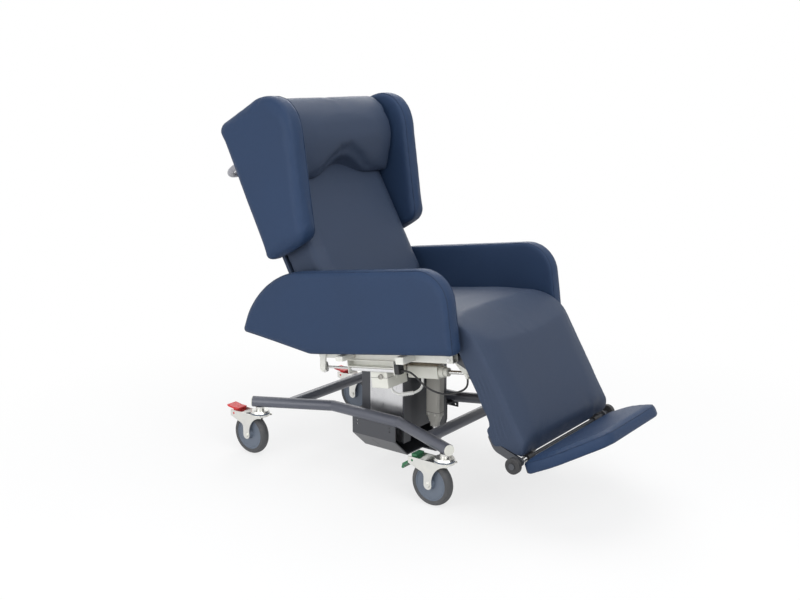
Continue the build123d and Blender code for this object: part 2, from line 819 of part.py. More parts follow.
# Arms: upholstered panels with a rounded front, a flat top and a swept rear
arm_solids = []
for side, name in ((-1, "arm_right"), (1, "arm_left")):
    with BuildPart() as arm:
        with BuildSketch(across(seat, 0, 0, side * arm_gap)):
            with BuildLine():
                FilletPolyline(
                    (arm_front_a, arm_bottom_b),
                    (arm_front_a, arm_top_b),
                    (arm_shoulder_a, arm_top_b),
                    (arm_tip_a, arm_tip_b),
                    (arm_heel_a, arm_heel_b),
                    radius=[16, 112, 310, 13, 76],
                    close=True,
                )
            make_face()
        extrude(amount=side * arm_t)
        outer = arm.faces().sort_by(Axis.X)[0 if side < 0 else -1]
        inner = arm.faces().sort_by(Axis.X)[-1 if side < 0 else 0]
        fillet(outer.edges() + inner.edges(), radius=11)
    keep(arm, name)
    arm_solids.append(arm.part)

# Legrest drive and release cable, in seat measure
leg_swing = (leg_up - leg_down) / 2
leg_swing_half = (leg_up + leg_down) / 2
leg_pin_a = leg_a + leg_lever * sin(radians(leg_swing))
leg_pin_b = leg_b - leg_lever * cos(radians(leg_swing))
leg_act_b = leg_b - leg_lever * (1 + cos(radians(leg_swing_half))) / 2
cable_points = [
    (-lock_x, channel_front - lock_head_l - lock_nose_l, lock_b),
    (-lock_x, -78, lock_b),
    (-246, -94, -207),
    (-236, -106, -229),
    (-226, -121, -249),
    (-216, -144, -264),
    (-206, -167, -273),
    (-196, -191, -274),
    (-185, -214, -268),
    (-172, -230, -262),
    (-162.5, -238, -247),
    (-162.5, -238, -228),
]
cable_end = cable_points[-1]
lead_points = [
    (-200, 46, box_top_b - box_h),
    (-200, 46, -278),
    (-186, 28, -291),
    (-170, 4, -291),
    (-150, -20, -288),
    (-134, -30, -277),
    (-125, -30, -260),
    (-125, -30, leg_act_b - leg_act_box / 2),
]

# Seat cross members, arm brackets, tilt lugs, box hanger and cable tab
cross_half = rail_x - rail_w / 2
lug_x = tilt_ear_x + tilt_ear_t + tilt_lug_gap
hanger_x = box_x + box_w / 2
tab_x = cable_end[0] - ear_t / 2
with BuildPart() as seat_crossmembers:
    for a in cross_a:
        with BuildSketch(across(seat, a, rail_mid_b, -cross_half)):
            Rectangle(cross_w, rail_h)
            Rectangle(cross_w - 2 * rail_t, rail_h - 2 * rail_t, mode=Mode.SUBTRACT)
        extrude(amount=2 * cross_half)
    for side in (-1, 1):
        for a in bracket_a:
            with BuildSketch(across(seat, a, rail_top_b - 4, side * (rail_x + rail_w / 2))):
                Rectangle(bracket_s, bracket_s, align=(Align.CENTER, Align.MAX))
            extrude(amount=side * (arm_gap + 0.66 * arm_t - rail_x - rail_w / 2))
        lug_top = spot(seat, cross_a[2], rail_top_b - rail_h)
        with BuildSketch(Plane.YZ.offset(side * lug_x)):
            with Locations((lug_top.Y, lug_top.Z)):
                Rectangle(cross_w, 4, rotation=-seat_lean, align=(Align.CENTER, Align.MAX))
            with Locations((tilt_axis.Y, tilt_axis.Z)):
                Circle(tilt_pin_d)
            make_hull()
            with Locations((tilt_axis.Y, tilt_axis.Z)):
                Circle(tilt_pin_d / 2 + seat_gap, mode=Mode.SUBTRACT)
        extrude(amount=side * tilt_lug_t)
        with BuildSketch(across(seat, 0, 0, side * (tilt_yoke_t / 2 + 2))):
            with Locations((cross_a[1], rail_top_b - rail_h)):
                Rectangle(cross_w, 4, align=(Align.CENTER, Align.MAX))
            with Locations((cross_a[1], tilt_rod_b)):
                Circle(pin_d)
            make_hull()
            with Locations((cross_a[1], tilt_rod_b)):
                Circle(pin_d / 2 + seat_gap, mode=Mode.SUBTRACT)
        extrude(amount=side * ear_t)
        with BuildSketch(across(seat, 0, 0, leg_act_x + side * (leg_yoke_t / 2 + 1))):
            with Locations((cross_a[1], rail_top_b - rail_h)):
                Rectangle(cross_w, 4, align=(Align.CENTER, Align.MAX))
            with Locations((leg_eye_a, leg_act_b)):
                Circle(pin_d)
            make_hull()
            with Locations((leg_eye_a, leg_act_b)):
                Circle(leg_pin_d / 2 + seat_gap, mode=Mode.SUBTRACT)
        extrude(amount=side * leg_plate_t)
    add(arm_solids, mode=Mode.SUBTRACT)
    hang_h = rail_top_b - rail_h - box_top_b
    with BuildSketch(across(seat, cross_a[1], rail_top_b - rail_h, hanger_x)):
        Rectangle(cross_w, hang_h, align=(Align.CENTER, Align.MAX))
    extrude(amount=pan_t)
    with BuildSketch(across(seat, 0, 0, tab_x)):
        with Locations((cross_a[0], rail_top_b - rail_h)):
            Rectangle(cross_w, 4, align=(Align.CENTER, Align.MAX))
        with Locations((cable_end[1], cable_end[2] + 2 * cable_d)):
            Circle(1.4 * cable_d)
        make_hull()
    extrude(amount=ear_t)
    with BuildSketch(Plane(origin=spot(seat, cable_end[1], cable_end[2], cable_end[0]), z_dir=seat.y_dir)):
        Circle(0.95 * cable_d)
    extrude(amount=2.4 * cable_d)
keep(seat_crossmembers, "seat_crossmembers")

# Hinge pins of the seat: back, legrest, tilt and tilt rod
with BuildPart() as hinge_pins:
    plate_out = back_plate_x + back_plate_t
    for side in (-1, 1):
        with BuildSketch(across(seat, back_a, back_b, side * (rail_x - rail_w / 2))):
            Circle(back_pin_d / 2)
        extrude(amount=side * (plate_out + 4 - rail_x + rail_w / 2))
    for at, half, diameter in (
        (leg_hinge, rail_x + rail_w / 2 + 3, leg_rod_d),
        (tilt_axis, lug_x + tilt_lug_t + 4, tilt_pin_d),
        (tilt_pin, tilt_yoke_t / 2 + 2 + ear_t + 3, pin_d),
    ):
        with BuildSketch(Plane(origin=(-half, at.Y, at.Z), x_dir=(0, 1, 0), z_dir=(1, 0, 0))):
            Circle(diameter / 2)
        extrude(amount=2 * half)
    half = leg_yoke_t / 2 + 1 + leg_plate_t + 2
    with BuildSketch(across(seat, leg_eye_a, leg_act_b, leg_act_x - half)):
        Circle(leg_pin_d / 2)
    extrude(amount=2 * half)
keep(hinge_pins, "hinge_pins")

# Seat board
roll_clear = leg_front + soft_gap
board_b = rail_top_b + board_t
board_front = leg_a + sqrt(roll_clear**2 - (rail_top_b - leg_b) ** 2) + soft_gap
cushion_rear_low = back_a - back_front - 7.0
cushion_rear_top = back_a - back_front + 6.0
with BuildPart() as seat_board:
    with BuildSketch(across(seat, 0, rail_top_b, -arm_gap + 6)):
        with Locations(((board_front + cushion_rear_low) / 2, board_t / 2)):
            Rectangle(cushion_rear_low - board_front, board_t)
    extrude(amount=2 * (arm_gap - 6))
keep(seat_board, "seat_board")


# Soft goods: side outlines lofted across the width, lower and shorter towards the side seams
def crowned(outline, half, seam_drop):
    """Loft a side outline across the width; outline draws a face from its x and its drop."""
    faces = []
    for share in (-1.0, -0.8, 0.0, 0.8, 1.0):
        drop = seam_drop * share**6 + 0.12 * seam_drop * share**2
        faces.append(outline(share * half, drop))
    loft(faces)


def seat_outline(x, drop):
    """Seat cushion: crowned top, hollow front over the knee roll, rear clear of the back."""
    low = board_b
    front_low = leg_a + sqrt(roll_clear**2 - (low - leg_b) ** 2)
    nose_a = leg_a + 12
    nose_low = leg_b + sqrt(roll_clear**2 - (nose_a - leg_a) ** 2)
    middle_a = leg_a + roll_clear * sin(radians(38))
    middle_b = leg_b + roll_clear * cos(radians(38))
    with BuildSketch(across(seat, 0, 0, x)) as face:
        with BuildLine():
            ThreePointArc((front_low, low), (middle_a, middle_b), (nose_a, nose_low))
            Line((nose_a, nose_low), (nose_a + 2, nose_low + 4))
            ThreePointArc(
                (nose_a + 2, nose_low + 4), (-40, 4 - drop), (cushion_rear_top - drop / 2, -10 - drop)
            )
            Line((cushion_rear_top - drop / 2, -10 - drop), (cushion_rear_low - drop / 2, low))
            Line((cushion_rear_low - drop / 2, low), (front_low, low))
        make_face()
    return face.sketch.face()


with BuildPart() as seat_cushion:
    crowned(seat_outline, arm_gap - seat_side_gap, 14)
keep(seat_cushion, "seat_cushion")

# Recline lock: channel under the near rail, bright tube, dark head, sliding rod with a yoke
lock_side = -lock_x
back_swing = (recline_back - recline_up) / 2
swing_half = (recline_back + recline_up) / 2
back_lever = (back_b - lock_b) * 2 / (1 + cos(radians(swing_half)))
lever_pin_a = back_a + back_lever * sin(radians(back_swing))
lever_pin_b = back_b - back_lever * cos(radians(back_swing))
channel_top = rail_top_b - rail_h
channel_low = lock_b + lock_tube_d / 2 + 0.2
with BuildPart() as lock_channel:
    mouth = Plane(origin=spot(seat, channel_front, channel_top, lock_side), x_dir=(1, 0, 0), z_dir=seat.x_dir)
    depth = channel_top - channel_low
    with BuildSketch(mouth):
        Rectangle(channel_w, depth, align=(Align.CENTER, Align.MIN))
        with Locations((-channel_t, channel_t)):
            Rectangle(channel_w, depth - 2 * channel_t, align=(Align.CENTER, Align.MIN), mode=Mode.SUBTRACT)
    extrude(amount=channel_rear - channel_front)
    for a, t in ((channel_front, channel_t), (channel_rear, -channel_t)):
        with BuildSketch(Plane(origin=spot(seat, a, channel_top, lock_side), x_dir=(1, 0, 0), z_dir=seat.x_dir)):
            Rectangle(channel_w, depth + lock_tube_d + 6, align=(Align.CENTER, Align.MIN))
        extrude(amount=t)
    with BuildSketch(Plane(origin=spot(seat, channel_front - 1, lock_b, lock_side), x_dir=(1, 0, 0), z_dir=seat.x_dir)):
        Circle(lock_tube_d / 2 + seat_gap)
    extrude(amount=channel_rear - channel_front + 2, mode=Mode.SUBTRACT)
keep(lock_channel, "lock_channel")


def lock_section(a):
    """Plane square to the lock rod at a place along it."""
    return Plane(origin=spot(seat, a, lock_b, lock_side), x_dir=(1, 0, 0), z_dir=seat.x_dir)


with BuildPart() as lock_tube:
    with BuildSketch(lock_section(channel_front)):
        Circle(lock_tube_d / 2)
    extrude(amount=lock_tube_rear - channel_front)
    with BuildSketch(lock_section(lock_tube_front)):
        Circle(lock_rod_d / 2 + run_gap)
    extrude(amount=lock_tube_rear - lock_tube_front, mode=Mode.SUBTRACT)
keep(lock_tube, "lock_tube")

with BuildPart() as lock_head:
    with BuildSketch(lock_section(channel_front)):
        with Locations((0, -6)):
            RectangleRounded(lock_head_w, lock_head_h, 6)
    extrude(amount=-lock_head_l)
    with BuildSketch(lock_section(channel_front - lock_head_l)):
        Circle(0.95 * cable_d)
    extrude(amount=-lock_nose_l)
keep(lock_head, "lock_head")

with BuildPart() as recline_rod:
    with BuildSketch(lock_section(lock_rod_in)):
        Circle(lock_rod_d / 2)
    extrude(amount=lever_pin_a - pin_d - lock_rod_in)
    with BuildSketch(across(seat, lever_pin_a, lock_b, lock_side - yoke_t / 2)):
        SlotOverall(30 + pin_d, 2.4 * pin_d, rotation=90)
        SlotOverall(30, pin_d + 2 * yoke_slack, rotation=90, mode=Mode.SUBTRACT)
    extrude(amount=yoke_t)
keep(recline_rod, "recline_rod")

# Back frame: side plates on the hinge, the lock lever, a tube ladder
tube_r = back_tube_d / 2
tube_q = back_rear + back_tube_d / 2 + touch_gap
low_tube_u = back_tube_end
top_tube_u = back_top - back_tube_end
with BuildPart() as back_frame:
    for x in (-back_plate_x, back_plate_x):
        side = -1 if x < 0 else 1
        with BuildSketch(across(back, 0, 0, x)):
            Circle(1.6 * back_pin_d)
            with Locations((tube_q, low_tube_u + 30)):
                Circle(tube_r)
            with Locations((tube_q, low_tube_u)):
                Circle(tube_r)
            make_hull()
            Circle(back_pin_d / 2 + run_gap, mode=Mode.SUBTRACT)
        extrude(amount=side * back_plate_t)
    pin_in = lock_x - yoke_t / 2 - 4
    with BuildSketch(across(seat, 0, 0, -back_plate_x)):
        with Locations((back_a, back_b)):
            Circle(1.2 * back_pin_d)
        with Locations((lever_pin_a, lever_pin_b)):
            Circle(1.1 * pin_d)
        make_hull()
        with Locations((back_a, back_b)):
            Circle(back_pin_d / 2 + run_gap, mode=Mode.SUBTRACT)
    extrude(amount=-back_plate_t)
    with BuildSketch(across(seat, lever_pin_a, lever_pin_b, -back_plate_x)):
        Circle(pin_d / 2)
    extrude(amount=back_plate_x - pin_in)
    with BuildSketch(across(back, tube_q, low_tube_u, -back_plate_x)):
        Circle(tube_r)
    extrude(amount=2 * back_plate_x)
    low_tube = back_frame.part
with BuildPart() as back_uprights:
    for side in (-1, 1):
        with BuildSketch(Plane(origin=spot(back, tube_q, low_tube_u, side * back_tube_x), z_dir=back.y_dir)):
            Circle(tube_r)
            Circle(tube_r - back_tube_wall, mode=Mode.SUBTRACT)
        extrude(amount=back_top - 25 - low_tube_u)
    with BuildSketch(across(back, tube_q, low_tube_u, -back_plate_x)):
        Circle(tube_r + seat_gap)
    extrude(amount=2 * back_plate_x, mode=Mode.SUBTRACT)
    uprights = [s for s in back_uprights.part.solids() if s.center().Z > back_hinge.Z + 100]
with BuildPart() as back_top_tube:
    with BuildSketch(across(back, tube_q, top_tube_u, -back_tube_x)):
        Circle(tube_r)
        Circle(tube_r - back_tube_wall, mode=Mode.SUBTRACT)
    extrude(amount=2 * back_tube_x)
    for side in (-1, 1):
        with BuildSketch(Plane(origin=spot(back, tube_q, low_tube_u, side * back_tube_x), z_dir=back.y_dir)):
            Circle(tube_r + seat_gap)
        extrude(amount=back_top, mode=Mode.SUBTRACT)
with BuildPart() as back_frame:
    add(low_tube)
    add(uprights)
    add(back_top_tube.part.solids().sort_by(SortBy.VOLUME)[-1])
keep(back_frame, "back_frame")

# Back panel: rear cover of the back
panel_front = tube_q + tube_r + 0.1
panel_mid = (back_panel_low + back_top) / 2
with BuildPart() as back_panel:
    with BuildSketch(Plane(origin=spot(back, panel_front, panel_mid), x_dir=(1, 0, 0), z_dir=back.x_dir)):
        RectangleRounded(2 * back_half, back_top - back_panel_low, back_panel_r)
    extrude(amount=back_panel_t)
keep(back_panel, "back_panel")


def back_outline(x, drop):
    """Back cushion: slightly bowed front, square bottom, rounded top."""
    front = -back_front + drop
    with BuildSketch(across(back, 0, 0, x)) as face:
        with BuildLine():
            Line((back_rear, 4 + drop), (front + 6, 4 + drop))
            Line((front + 6, 4 + drop), (front, 26 + drop))
            ThreePointArc((front, 26 + drop), (front - back_bow, back_top / 2), (front, back_top - 44))
            ThreePointArc(
                (front, back_top - 44), (front + 16, back_top - 14 - drop / 2), (front + 50, back_top - drop / 2)
            )
            Line((front + 50, back_top - drop / 2), (back_rear, back_top - drop / 2))
            Line((back_rear, back_top - drop / 2), (back_rear, 4 + drop))
        make_face()
    return face.sketch.face()


with BuildPart() as back_cushion:
    crowned(back_outline, back_half, 16)
    for side in (-1, 1):
        with BuildSketch(across(back, 0, 0, side * back_foot_half)):
            Rectangle(4 * back_front, 2 * back_foot_u)
        extrude(amount=side * back_half, mode=Mode.SUBTRACT)
keep(back_cushion, "back_cushion")


def pillow_outline(x, drop):
    """Headrest pillow: thin at its lower edge, full under the top, leaning forward."""
    rear = -back_front - back_bow - touch_gap
    front = -pillow_front + 1.6 * drop
    with BuildSketch(across(back, 0, 0, x)) as face:
        with BuildLine():
            Line((rear, pillow_top - drop), (rear, pillow_low + drop))
            ThreePointArc(
                (rear, pillow_low + drop), (rear - 42, pillow_low + 62), (front, pillow_low + 190)
            )
            ThreePointArc(
                (front, pillow_low + 190),
                (front + 8, pillow_top - 74),
                (front + 46, pillow_top - 22 - drop),
            )
            ThreePointArc(
                (front + 46, pillow_top - 22 - drop), (front + 76, pillow_top - 5 - drop), (rear, pillow_top - drop)
            )
        make_face()
    return face.sketch.face()


with BuildPart() as headrest:
    crowned(pillow_outline, pillow_half, 20)
    arch = Plane(
        origin=spot(back, -back_front, pillow_arch_u - pillow_arch_r), x_dir=(1, 0, 0), z_dir=-back.x_dir
    )
    with BuildSketch(arch):
        Circle(pillow_arch_r)
    extrude(amount=2 * pillow_front, both=True, mode=Mode.SUBTRACT)
keep(headrest, "headrest")

# Wings: upholstered side panels of the back
for side, name in ((-1, "wing_right"), (1, "wing_left")):
    with BuildPart() as wing:
        with BuildSketch(across(back, 0, 0, side * wing_in)):
            with BuildLine():
                FilletPolyline(
                    (wing_rear, wing_low),
                    (wing_rear_top, wing_top),
                    (-wing_nose_top, wing_top),
                    (-wing_nose_low, wing_low),
                    radius=list(wing_radii),
                    close=True,
                )
            make_face()
        extrude(amount=side * (wing_out - wing_in))
        outer = wing.faces().sort_by(Axis.X)[0 if side < 0 else -1]
        inner = wing.faces().sort_by(Axis.X)[-1 if side < 0 else 0]
        outer_edge = min(wing_edge_out, 0.4 * (wing_out - wing_in))
        fillet(outer.edges(), radius=outer_edge)
        fillet(inner.edges(), radius=min(wing_edge_in, wing_out - wing_in - outer_edge - 2))
    keep(wing, name)

# Push handle
handle_start = panel_front + back_panel_t
with BuildPart() as push_handle:
    with BuildLine() as grip:
        FilletPolyline(
            spot(back, handle_start, handle_u, -handle_x),
            spot(back, handle_reach, handle_u - 8, -handle_x),
            spot(back, handle_reach, handle_u - 8, handle_x),
            spot(back, handle_start, handle_u, handle_x),
            radius=handle_bend,
        )
    with BuildSketch(Plane(origin=grip.line @ 0, z_dir=grip.line % 0)):
        Circle(handle_d / 2)
    sweep(path=grip.line)
    with BuildSketch(Plane(origin=spot(back, handle_start, handle_u), x_dir=(1, 0, 0), z_dir=back.x_dir)):
        with GridLocations(2 * handle_x, 0, 2, 1):
            Circle(handle_d)
    extrude(amount=4)
    split(bisect_by=Plane(origin=spot(back, handle_start, handle_u), z_dir=back.x_dir), keep=Keep.TOP)
keep(push_handle, "push_handle")

# Legrest frame: side bars, sheet pan with a cross strip, end links, hinge sleeve and the actuator lever
pan_q = -leg_back + 0.3
bar_path = [(0, 0), (leg_bar_q, -60), (leg_bar_q, -leg_low_back)]
link_path = [(leg_bar_q, -leg_low_back + leg_strip_h / 2), (leg_bar_q, -300), (foot_q, foot_u)]
sleeve_half = cross_half - 3
with BuildPart() as legrest_frame:
    for side in (-1, 1):
        with BuildSketch(across(leg, 0, 0, side * leg_bar_x)):
            with BuildLine():
                FilletPolyline(*bar_path, radius=40)
                offset(amount=leg_bar_h / 2, side=Side.BOTH)
            make_face()
            Circle(leg_rod_d / 2 + run_gap, mode=Mode.SUBTRACT)
        extrude(amount=side * leg_bar_t)
        with BuildSketch(across(leg, 0, 0, side * leg_link_x)):
            with BuildLine():
                FilletPolyline(*link_path, radius=30)
                offset(amount=leg_bar_h / 2, side=Side.BOTH)
            make_face()
            with Locations((foot_q, foot_u)):
                Circle(foot_rod_d / 2 + seat_gap, mode=Mode.SUBTRACT)
        extrude(amount=side * leg_bar_t)
    with BuildSketch(across(leg, 0, 0, -leg_link_x)):
        with Locations((pan_q + leg_pan_t / 2, -leg_low_back + leg_strip_h / 2)):
            Rectangle(leg_pan_t, leg_strip_h)
    extrude(amount=2 * leg_link_x)
    with BuildSketch(across(leg, 0, 0, -leg_bar_x)):
        with Locations((pan_q + leg_pan_t / 2, -(20 + leg_low_back) / 2)):
            Rectangle(leg_pan_t, leg_low_back - 20)
    extrude(amount=2 * leg_bar_x)
    with BuildSketch(across(leg, 0, 0, -sleeve_half)):
        Circle(leg_sleeve_d / 2)
        Circle(leg_rod_d / 2 + run_gap, mode=Mode.SUBTRACT)
    extrude(amount=2 * sleeve_half)
    for x in (leg_act_x, -leg_act_x):
        for side in (-1, 1):
            with BuildSketch(across(leg, 0, 0, x + side * (leg_yoke_t / 2 + 1))):
                Circle(leg_sleeve_d / 2)
                with Locations((pan_q + leg_pan_t, -60)):
                    Rectangle(4, 60, align=(Align.MAX, Align.CENTER))
                make_hull()
                Circle(leg_rod_d / 2 + run_gap, mode=Mode.SUBTRACT)
            extrude(amount=side * leg_plate_t)
    for side in (-1, 1):
        with BuildSketch(across(seat, 0, 0, leg_act_x + side * (leg_yoke_t / 2 + 1))):
            with Locations((leg_a, leg_b)):
                Circle(leg_sleeve_d / 2)
            with Locations((leg_pin_a, leg_pin_b)):
                Circle(1.2 * leg_pin_d)
            make_hull()
            with Locations((leg_a, leg_b)):
                Circle(leg_rod_d / 2 + run_gap, mode=Mode.SUBTRACT)
        extrude(amount=side * leg_plate_t)
    pin_half = leg_yoke_t / 2 + 1 + leg_plate_t + 2
    with BuildSketch(across(seat, leg_pin_a, leg_pin_b, leg_act_x - pin_half)):
        Circle(leg_pin_d / 2)
    extrude(amount=2 * pin_half)
keep(legrest_frame, "legrest_frame")


def leg_outline(x, drop):
    """Legrest cushion: knee roll about the hinge, flat front, cut-back lower end."""
    roll = leg_front - drop
    low = leg_low_front - drop
    start = radians(leg_roll_start)
    with BuildSketch(across(leg, 0, 0, x)) as face:
        with BuildLine():
            top_in = (-leg_roll_in * sin(start), leg_roll_in * cos(start))
            top_out = (-roll * sin(start), roll * cos(start))
            Line(top_in, top_out)
            ThreePointArc(top_out, (-roll * cos(radians(40)), roll * sin(radians(40))), (-roll, 0))
            ThreePointArc((-roll, 0), (-roll - leg_bulge, -low / 2), (-roll - 3, -low + 14))
            ThreePointArc((-roll - 3, -low + 14), (-roll + 1, -low + 4), (-roll + 10, -low + 1))
            Line((-roll + 10, -low + 1), (-leg_back, -leg_low_back))
            Line((-leg_back, -leg_low_back), (-leg_back, -14))
            Line((-leg_back, -14), (-leg_roll_in, 0))
            ThreePointArc(
                (-leg_roll_in, 0), (-leg_roll_in * cos(radians(40)), leg_roll_in * sin(radians(40))), top_in
            )
        make_face()
    return face.sketch.face()


with BuildPart() as legrest_cushion:
    crowned(leg_outline, leg_half, 16)
keep(legrest_cushion, "legrest_cushion")


# Legrest actuator and its rod with a slotted yoke
def drive_section(a):
    """Plane square to the legrest actuator at a place along it."""
    return Plane(origin=spot(seat, a, leg_act_b, leg_act_x), x_dir=(1, 0, 0), z_dir=seat.x_dir)


with BuildPart() as legrest_actuator:
    with BuildSketch(drive_section(leg_act_front)):
        RectangleRounded(leg_act_box, leg_act_box, 7)
    extrude(amount=leg_act_rear - leg_act_front)
    with BuildSketch(drive_section(leg_act_front)):
        Circle(0.42 * leg_act_box)
    extrude(amount=-(leg_act_front - leg_nose_front) * 0.55)
    with BuildSketch(drive_section(leg_act_front)):
        Circle(0.33 * leg_act_box)
    extrude(amount=-(leg_act_front - leg_nose_front))
    with BuildSketch(across(seat, 0, 0, leg_act_x - leg_yoke_t / 2)):
        with Locations((leg_act_rear - 1, leg_act_b)):
            Rectangle(2, 2 * pin_d, align=(Align.MAX, Align.CENTER))
        with Locations((leg_eye_a, leg_act_b)):
            Circle(0.9 * pin_d)
        make_hull()
        with Locations((leg_eye_a, leg_act_b)):
            Circle(leg_pin_d / 2 + seat_gap, mode=Mode.SUBTRACT)
    extrude(amount=leg_yoke_t)
    with BuildSketch(drive_section(leg_nose_front)):
        Circle(leg_act_rod_d / 2 + run_gap)
    extrude(amount=leg_act_rear - 6 - leg_nose_front, mode=Mode.SUBTRACT)
keep(legrest_actuator, "legrest_actuator")

with BuildPart() as legrest_rod:
    with BuildSketch(drive_section(-34)):
        Circle(leg_act_rod_d / 2)
    extrude(amount=leg_pin_a + leg_pin_d + 34)
    with BuildSketch(across(seat, leg_pin_a, leg_act_b, leg_act_x - leg_yoke_t / 2)):
        SlotOverall(30 + pin_d, leg_pin_d + 2 * leg_yoke_slack + pin_d, rotation=90)
        SlotOverall(30, leg_pin_d + 2 * leg_yoke_slack, rotation=90, mode=Mode.SUBTRACT)
    extrude(amount=leg_yoke_t)
keep(legrest_rod, "legrest_rod")

# Foot hinge rod, torsion spring, footplate and floor rollers
rod_half = roller_x + roller_w + 0.5
with BuildPart() as foot_hinge_rod:
    with BuildSketch(across(leg, foot_q, foot_u, -rod_half)):
        Circle(foot_rod_d / 2)
    extrude(amount=2 * rod_half)
    for side in (-1, 1):
        with BuildSketch(across(leg, foot_q, foot_u, side * rod_half)):
            Circle(0.8 * foot_rod_d)
        extrude(amount=side * 3)
keep(foot_hinge_rod, "foot_hinge_rod")


def coil_point(turn):
    """Point of the spring's centre line and its direction after a number of turns."""
    angle = 2 * pi * turn
    point = spot(foot, spring_d / 2 * cos(angle), spring_d / 2 * sin(angle), spring_x + spring_pitch * turn)
    ahead = spot(foot, -pi * spring_d * sin(angle), pi * spring_d * cos(angle), spring_pitch) - spot(foot, 0, 0)
    return point, ahead.normalized()


with BuildPart() as foot_spring:
    with BuildLine() as wire:
        first, way = coil_point(0)
        Line(first - way * 4 * spring_wire, first)
        for step in range(4 * spring_turns):
            p0, t0 = coil_point(step / 4)
            p1, t1 = coil_point((step + 1) / 4)
            chord = p1 - p0
            both = t0 + t1
            spread = 2 * (1 - t0.dot(t1))
            along = chord.dot(both)
            d = (-along + sqrt(along**2 + spread * chord.dot(chord))) / spread
            joint = (p0 + t0 * d + p1 - t1 * d) * 0.5
            arc = TangentArc(p0, joint, tangent=t0)
            TangentArc(joint, p1, tangent=arc % 1)
        last, way = coil_point(spring_turns)
        Line(last, last + way * 4 * spring_wire)
    with BuildSketch(Plane(origin=wire.line @ 0, z_dir=wire.line % 0)):
        Circle(spring_wire / 2)
    sweep(path=wire.line)
keep(foot_spring, "foot_spring")


def foot_shape(inset):
    """Outline of the footplate: square at the hinge, tapered and rounded at the toes."""
    side = foot_half - inset
    return [
        (-side, -foot_near),
        (-side, -foot_side),
        (-foot_front_half + inset, -foot_depth + inset),
        (foot_front_half - inset, -foot_depth + inset),
        (side, -foot_side),
        (side, -foot_near),
    ]


foot_radii = [6, foot_corner_r, foot_corner_r, foot_corner_r, foot_corner_r, 6]
with BuildPart() as footplate_pad:
    with BuildSketch(foot_top.offset(foot_pad_top)):
        with BuildLine():
            FilletPolyline(*foot_shape(0), radius=foot_radii, close=True)
        make_face()
    extrude(amount=-foot_pad_t)
    pad_top = footplate_pad.faces().sort_by(Axis(foot_hinge, foot_top.z_dir))[-1]
    fillet(pad_top.edges(), radius=5.5)
keep(footplate_pad, "footplate_pad")

board_top = foot_pad_top - foot_pad_t
board_low = board_top - foot_board_t
with BuildPart() as footplate_board:
    with BuildSketch(foot_top.offset(board_top)):
        with BuildLine():
            FilletPolyline(*foot_shape(3), radius=foot_radii, close=True)
        make_face()
    extrude(amount=-foot_board_t)
    for x in (-knuckle_x - knuckle_w, knuckle_x):
        with BuildSketch(across(foot, 0, 0, x)):
            with BuildLine():
                Polyline(
                    (-knuckle_d / 2, 0),
                    (knuckle_d / 2, 0),
                    (knuckle_d / 4, board_low - 4),
                    (-3 * foot_near, board_low - 4),
                    (-3 * foot_near, board_low),
                    (-foot_near + 1, board_low),
                    (-foot_near + 1, board_top),
                    close=True,
                )
            make_face()
            Circle(knuckle_d / 2)
            Circle(foot_rod_d / 2 + run_gap, mode=Mode.SUBTRACT)
        extrude(amount=knuckle_w)
keep(footplate_board, "footplate_board")

for side, name in ((-1, "floor_roller_right"), (1, "floor_roller_left")):
    with BuildPart() as floor_roller:
        with BuildSketch(across(leg, foot_q, foot_u, side * roller_x)):
            Circle(roller_d / 2)
            Circle(foot_rod_d / 2 + run_gap, mode=Mode.SUBTRACT)
        extrude(amount=side * roller_w)
        rims = floor_roller.edges().filter_by(GeomType.CIRCLE).group_by(SortBy.RADIUS)[-1]
        fillet(rims, radius=3)
    keep(floor_roller, name)

# Control box under the seat
with BuildPart() as control_box:
    with BuildSketch(across(seat, box_front_a, box_top_b, box_x)):
        Rectangle(box_l, box_h, align=(Align.MIN, Align.MAX))
    extrude(amount=box_w)
    fillet(control_box.edges(), radius=4)
keep(control_box, "control_box")


def bend_radii(points):
    """Bend radius at each inner corner of a cord, from its shorter run and its turn."""
    radii = []
    for before, here, after in zip(points, points[1:], points[2:]):
        run_in = here - before
        run_out = after - here
        turn = radians(run_in.get_angle(run_out))
        radii.append(0.45 * min(run_in.length, run_out.length) / tan(turn / 2))
    return radii


# Release cable from the lock head to the tab, and the lead from the control box to the legrest drive
for points, diameter, name in (
    (cable_points, cable_d, "release_cable"),
    (lead_points, lead_d, "motor_lead"),
):
    world = [spot(seat, a, b, x) for x, a, b in points]
    radii = bend_radii(world)
    with BuildPart() as cord:
        with BuildLine() as run:
            FilletPolyline(*world, radius=radii)
        with BuildSketch(Plane(origin=run.line @ 0, z_dir=run.line % 0)):
            Circle(diameter / 2)
        sweep(path=run.line)
    keep(cord, name)
    section = pi * diameter**2 / 4
    length = run.wires()[0].length
    print(name, "radii", [round(r / diameter, 1) for r in radii], "diameters, length", round(length, 1))
    print(name, "volume", round(cord.part.volume), "against", round(section * length))
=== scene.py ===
"""Looks of the care chair: vinyl upholstery, castor details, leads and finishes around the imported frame."""

import json
import logging
import math
from dataclasses import dataclass, field
from enum import Enum
from typing import Any, Callable, Sequence

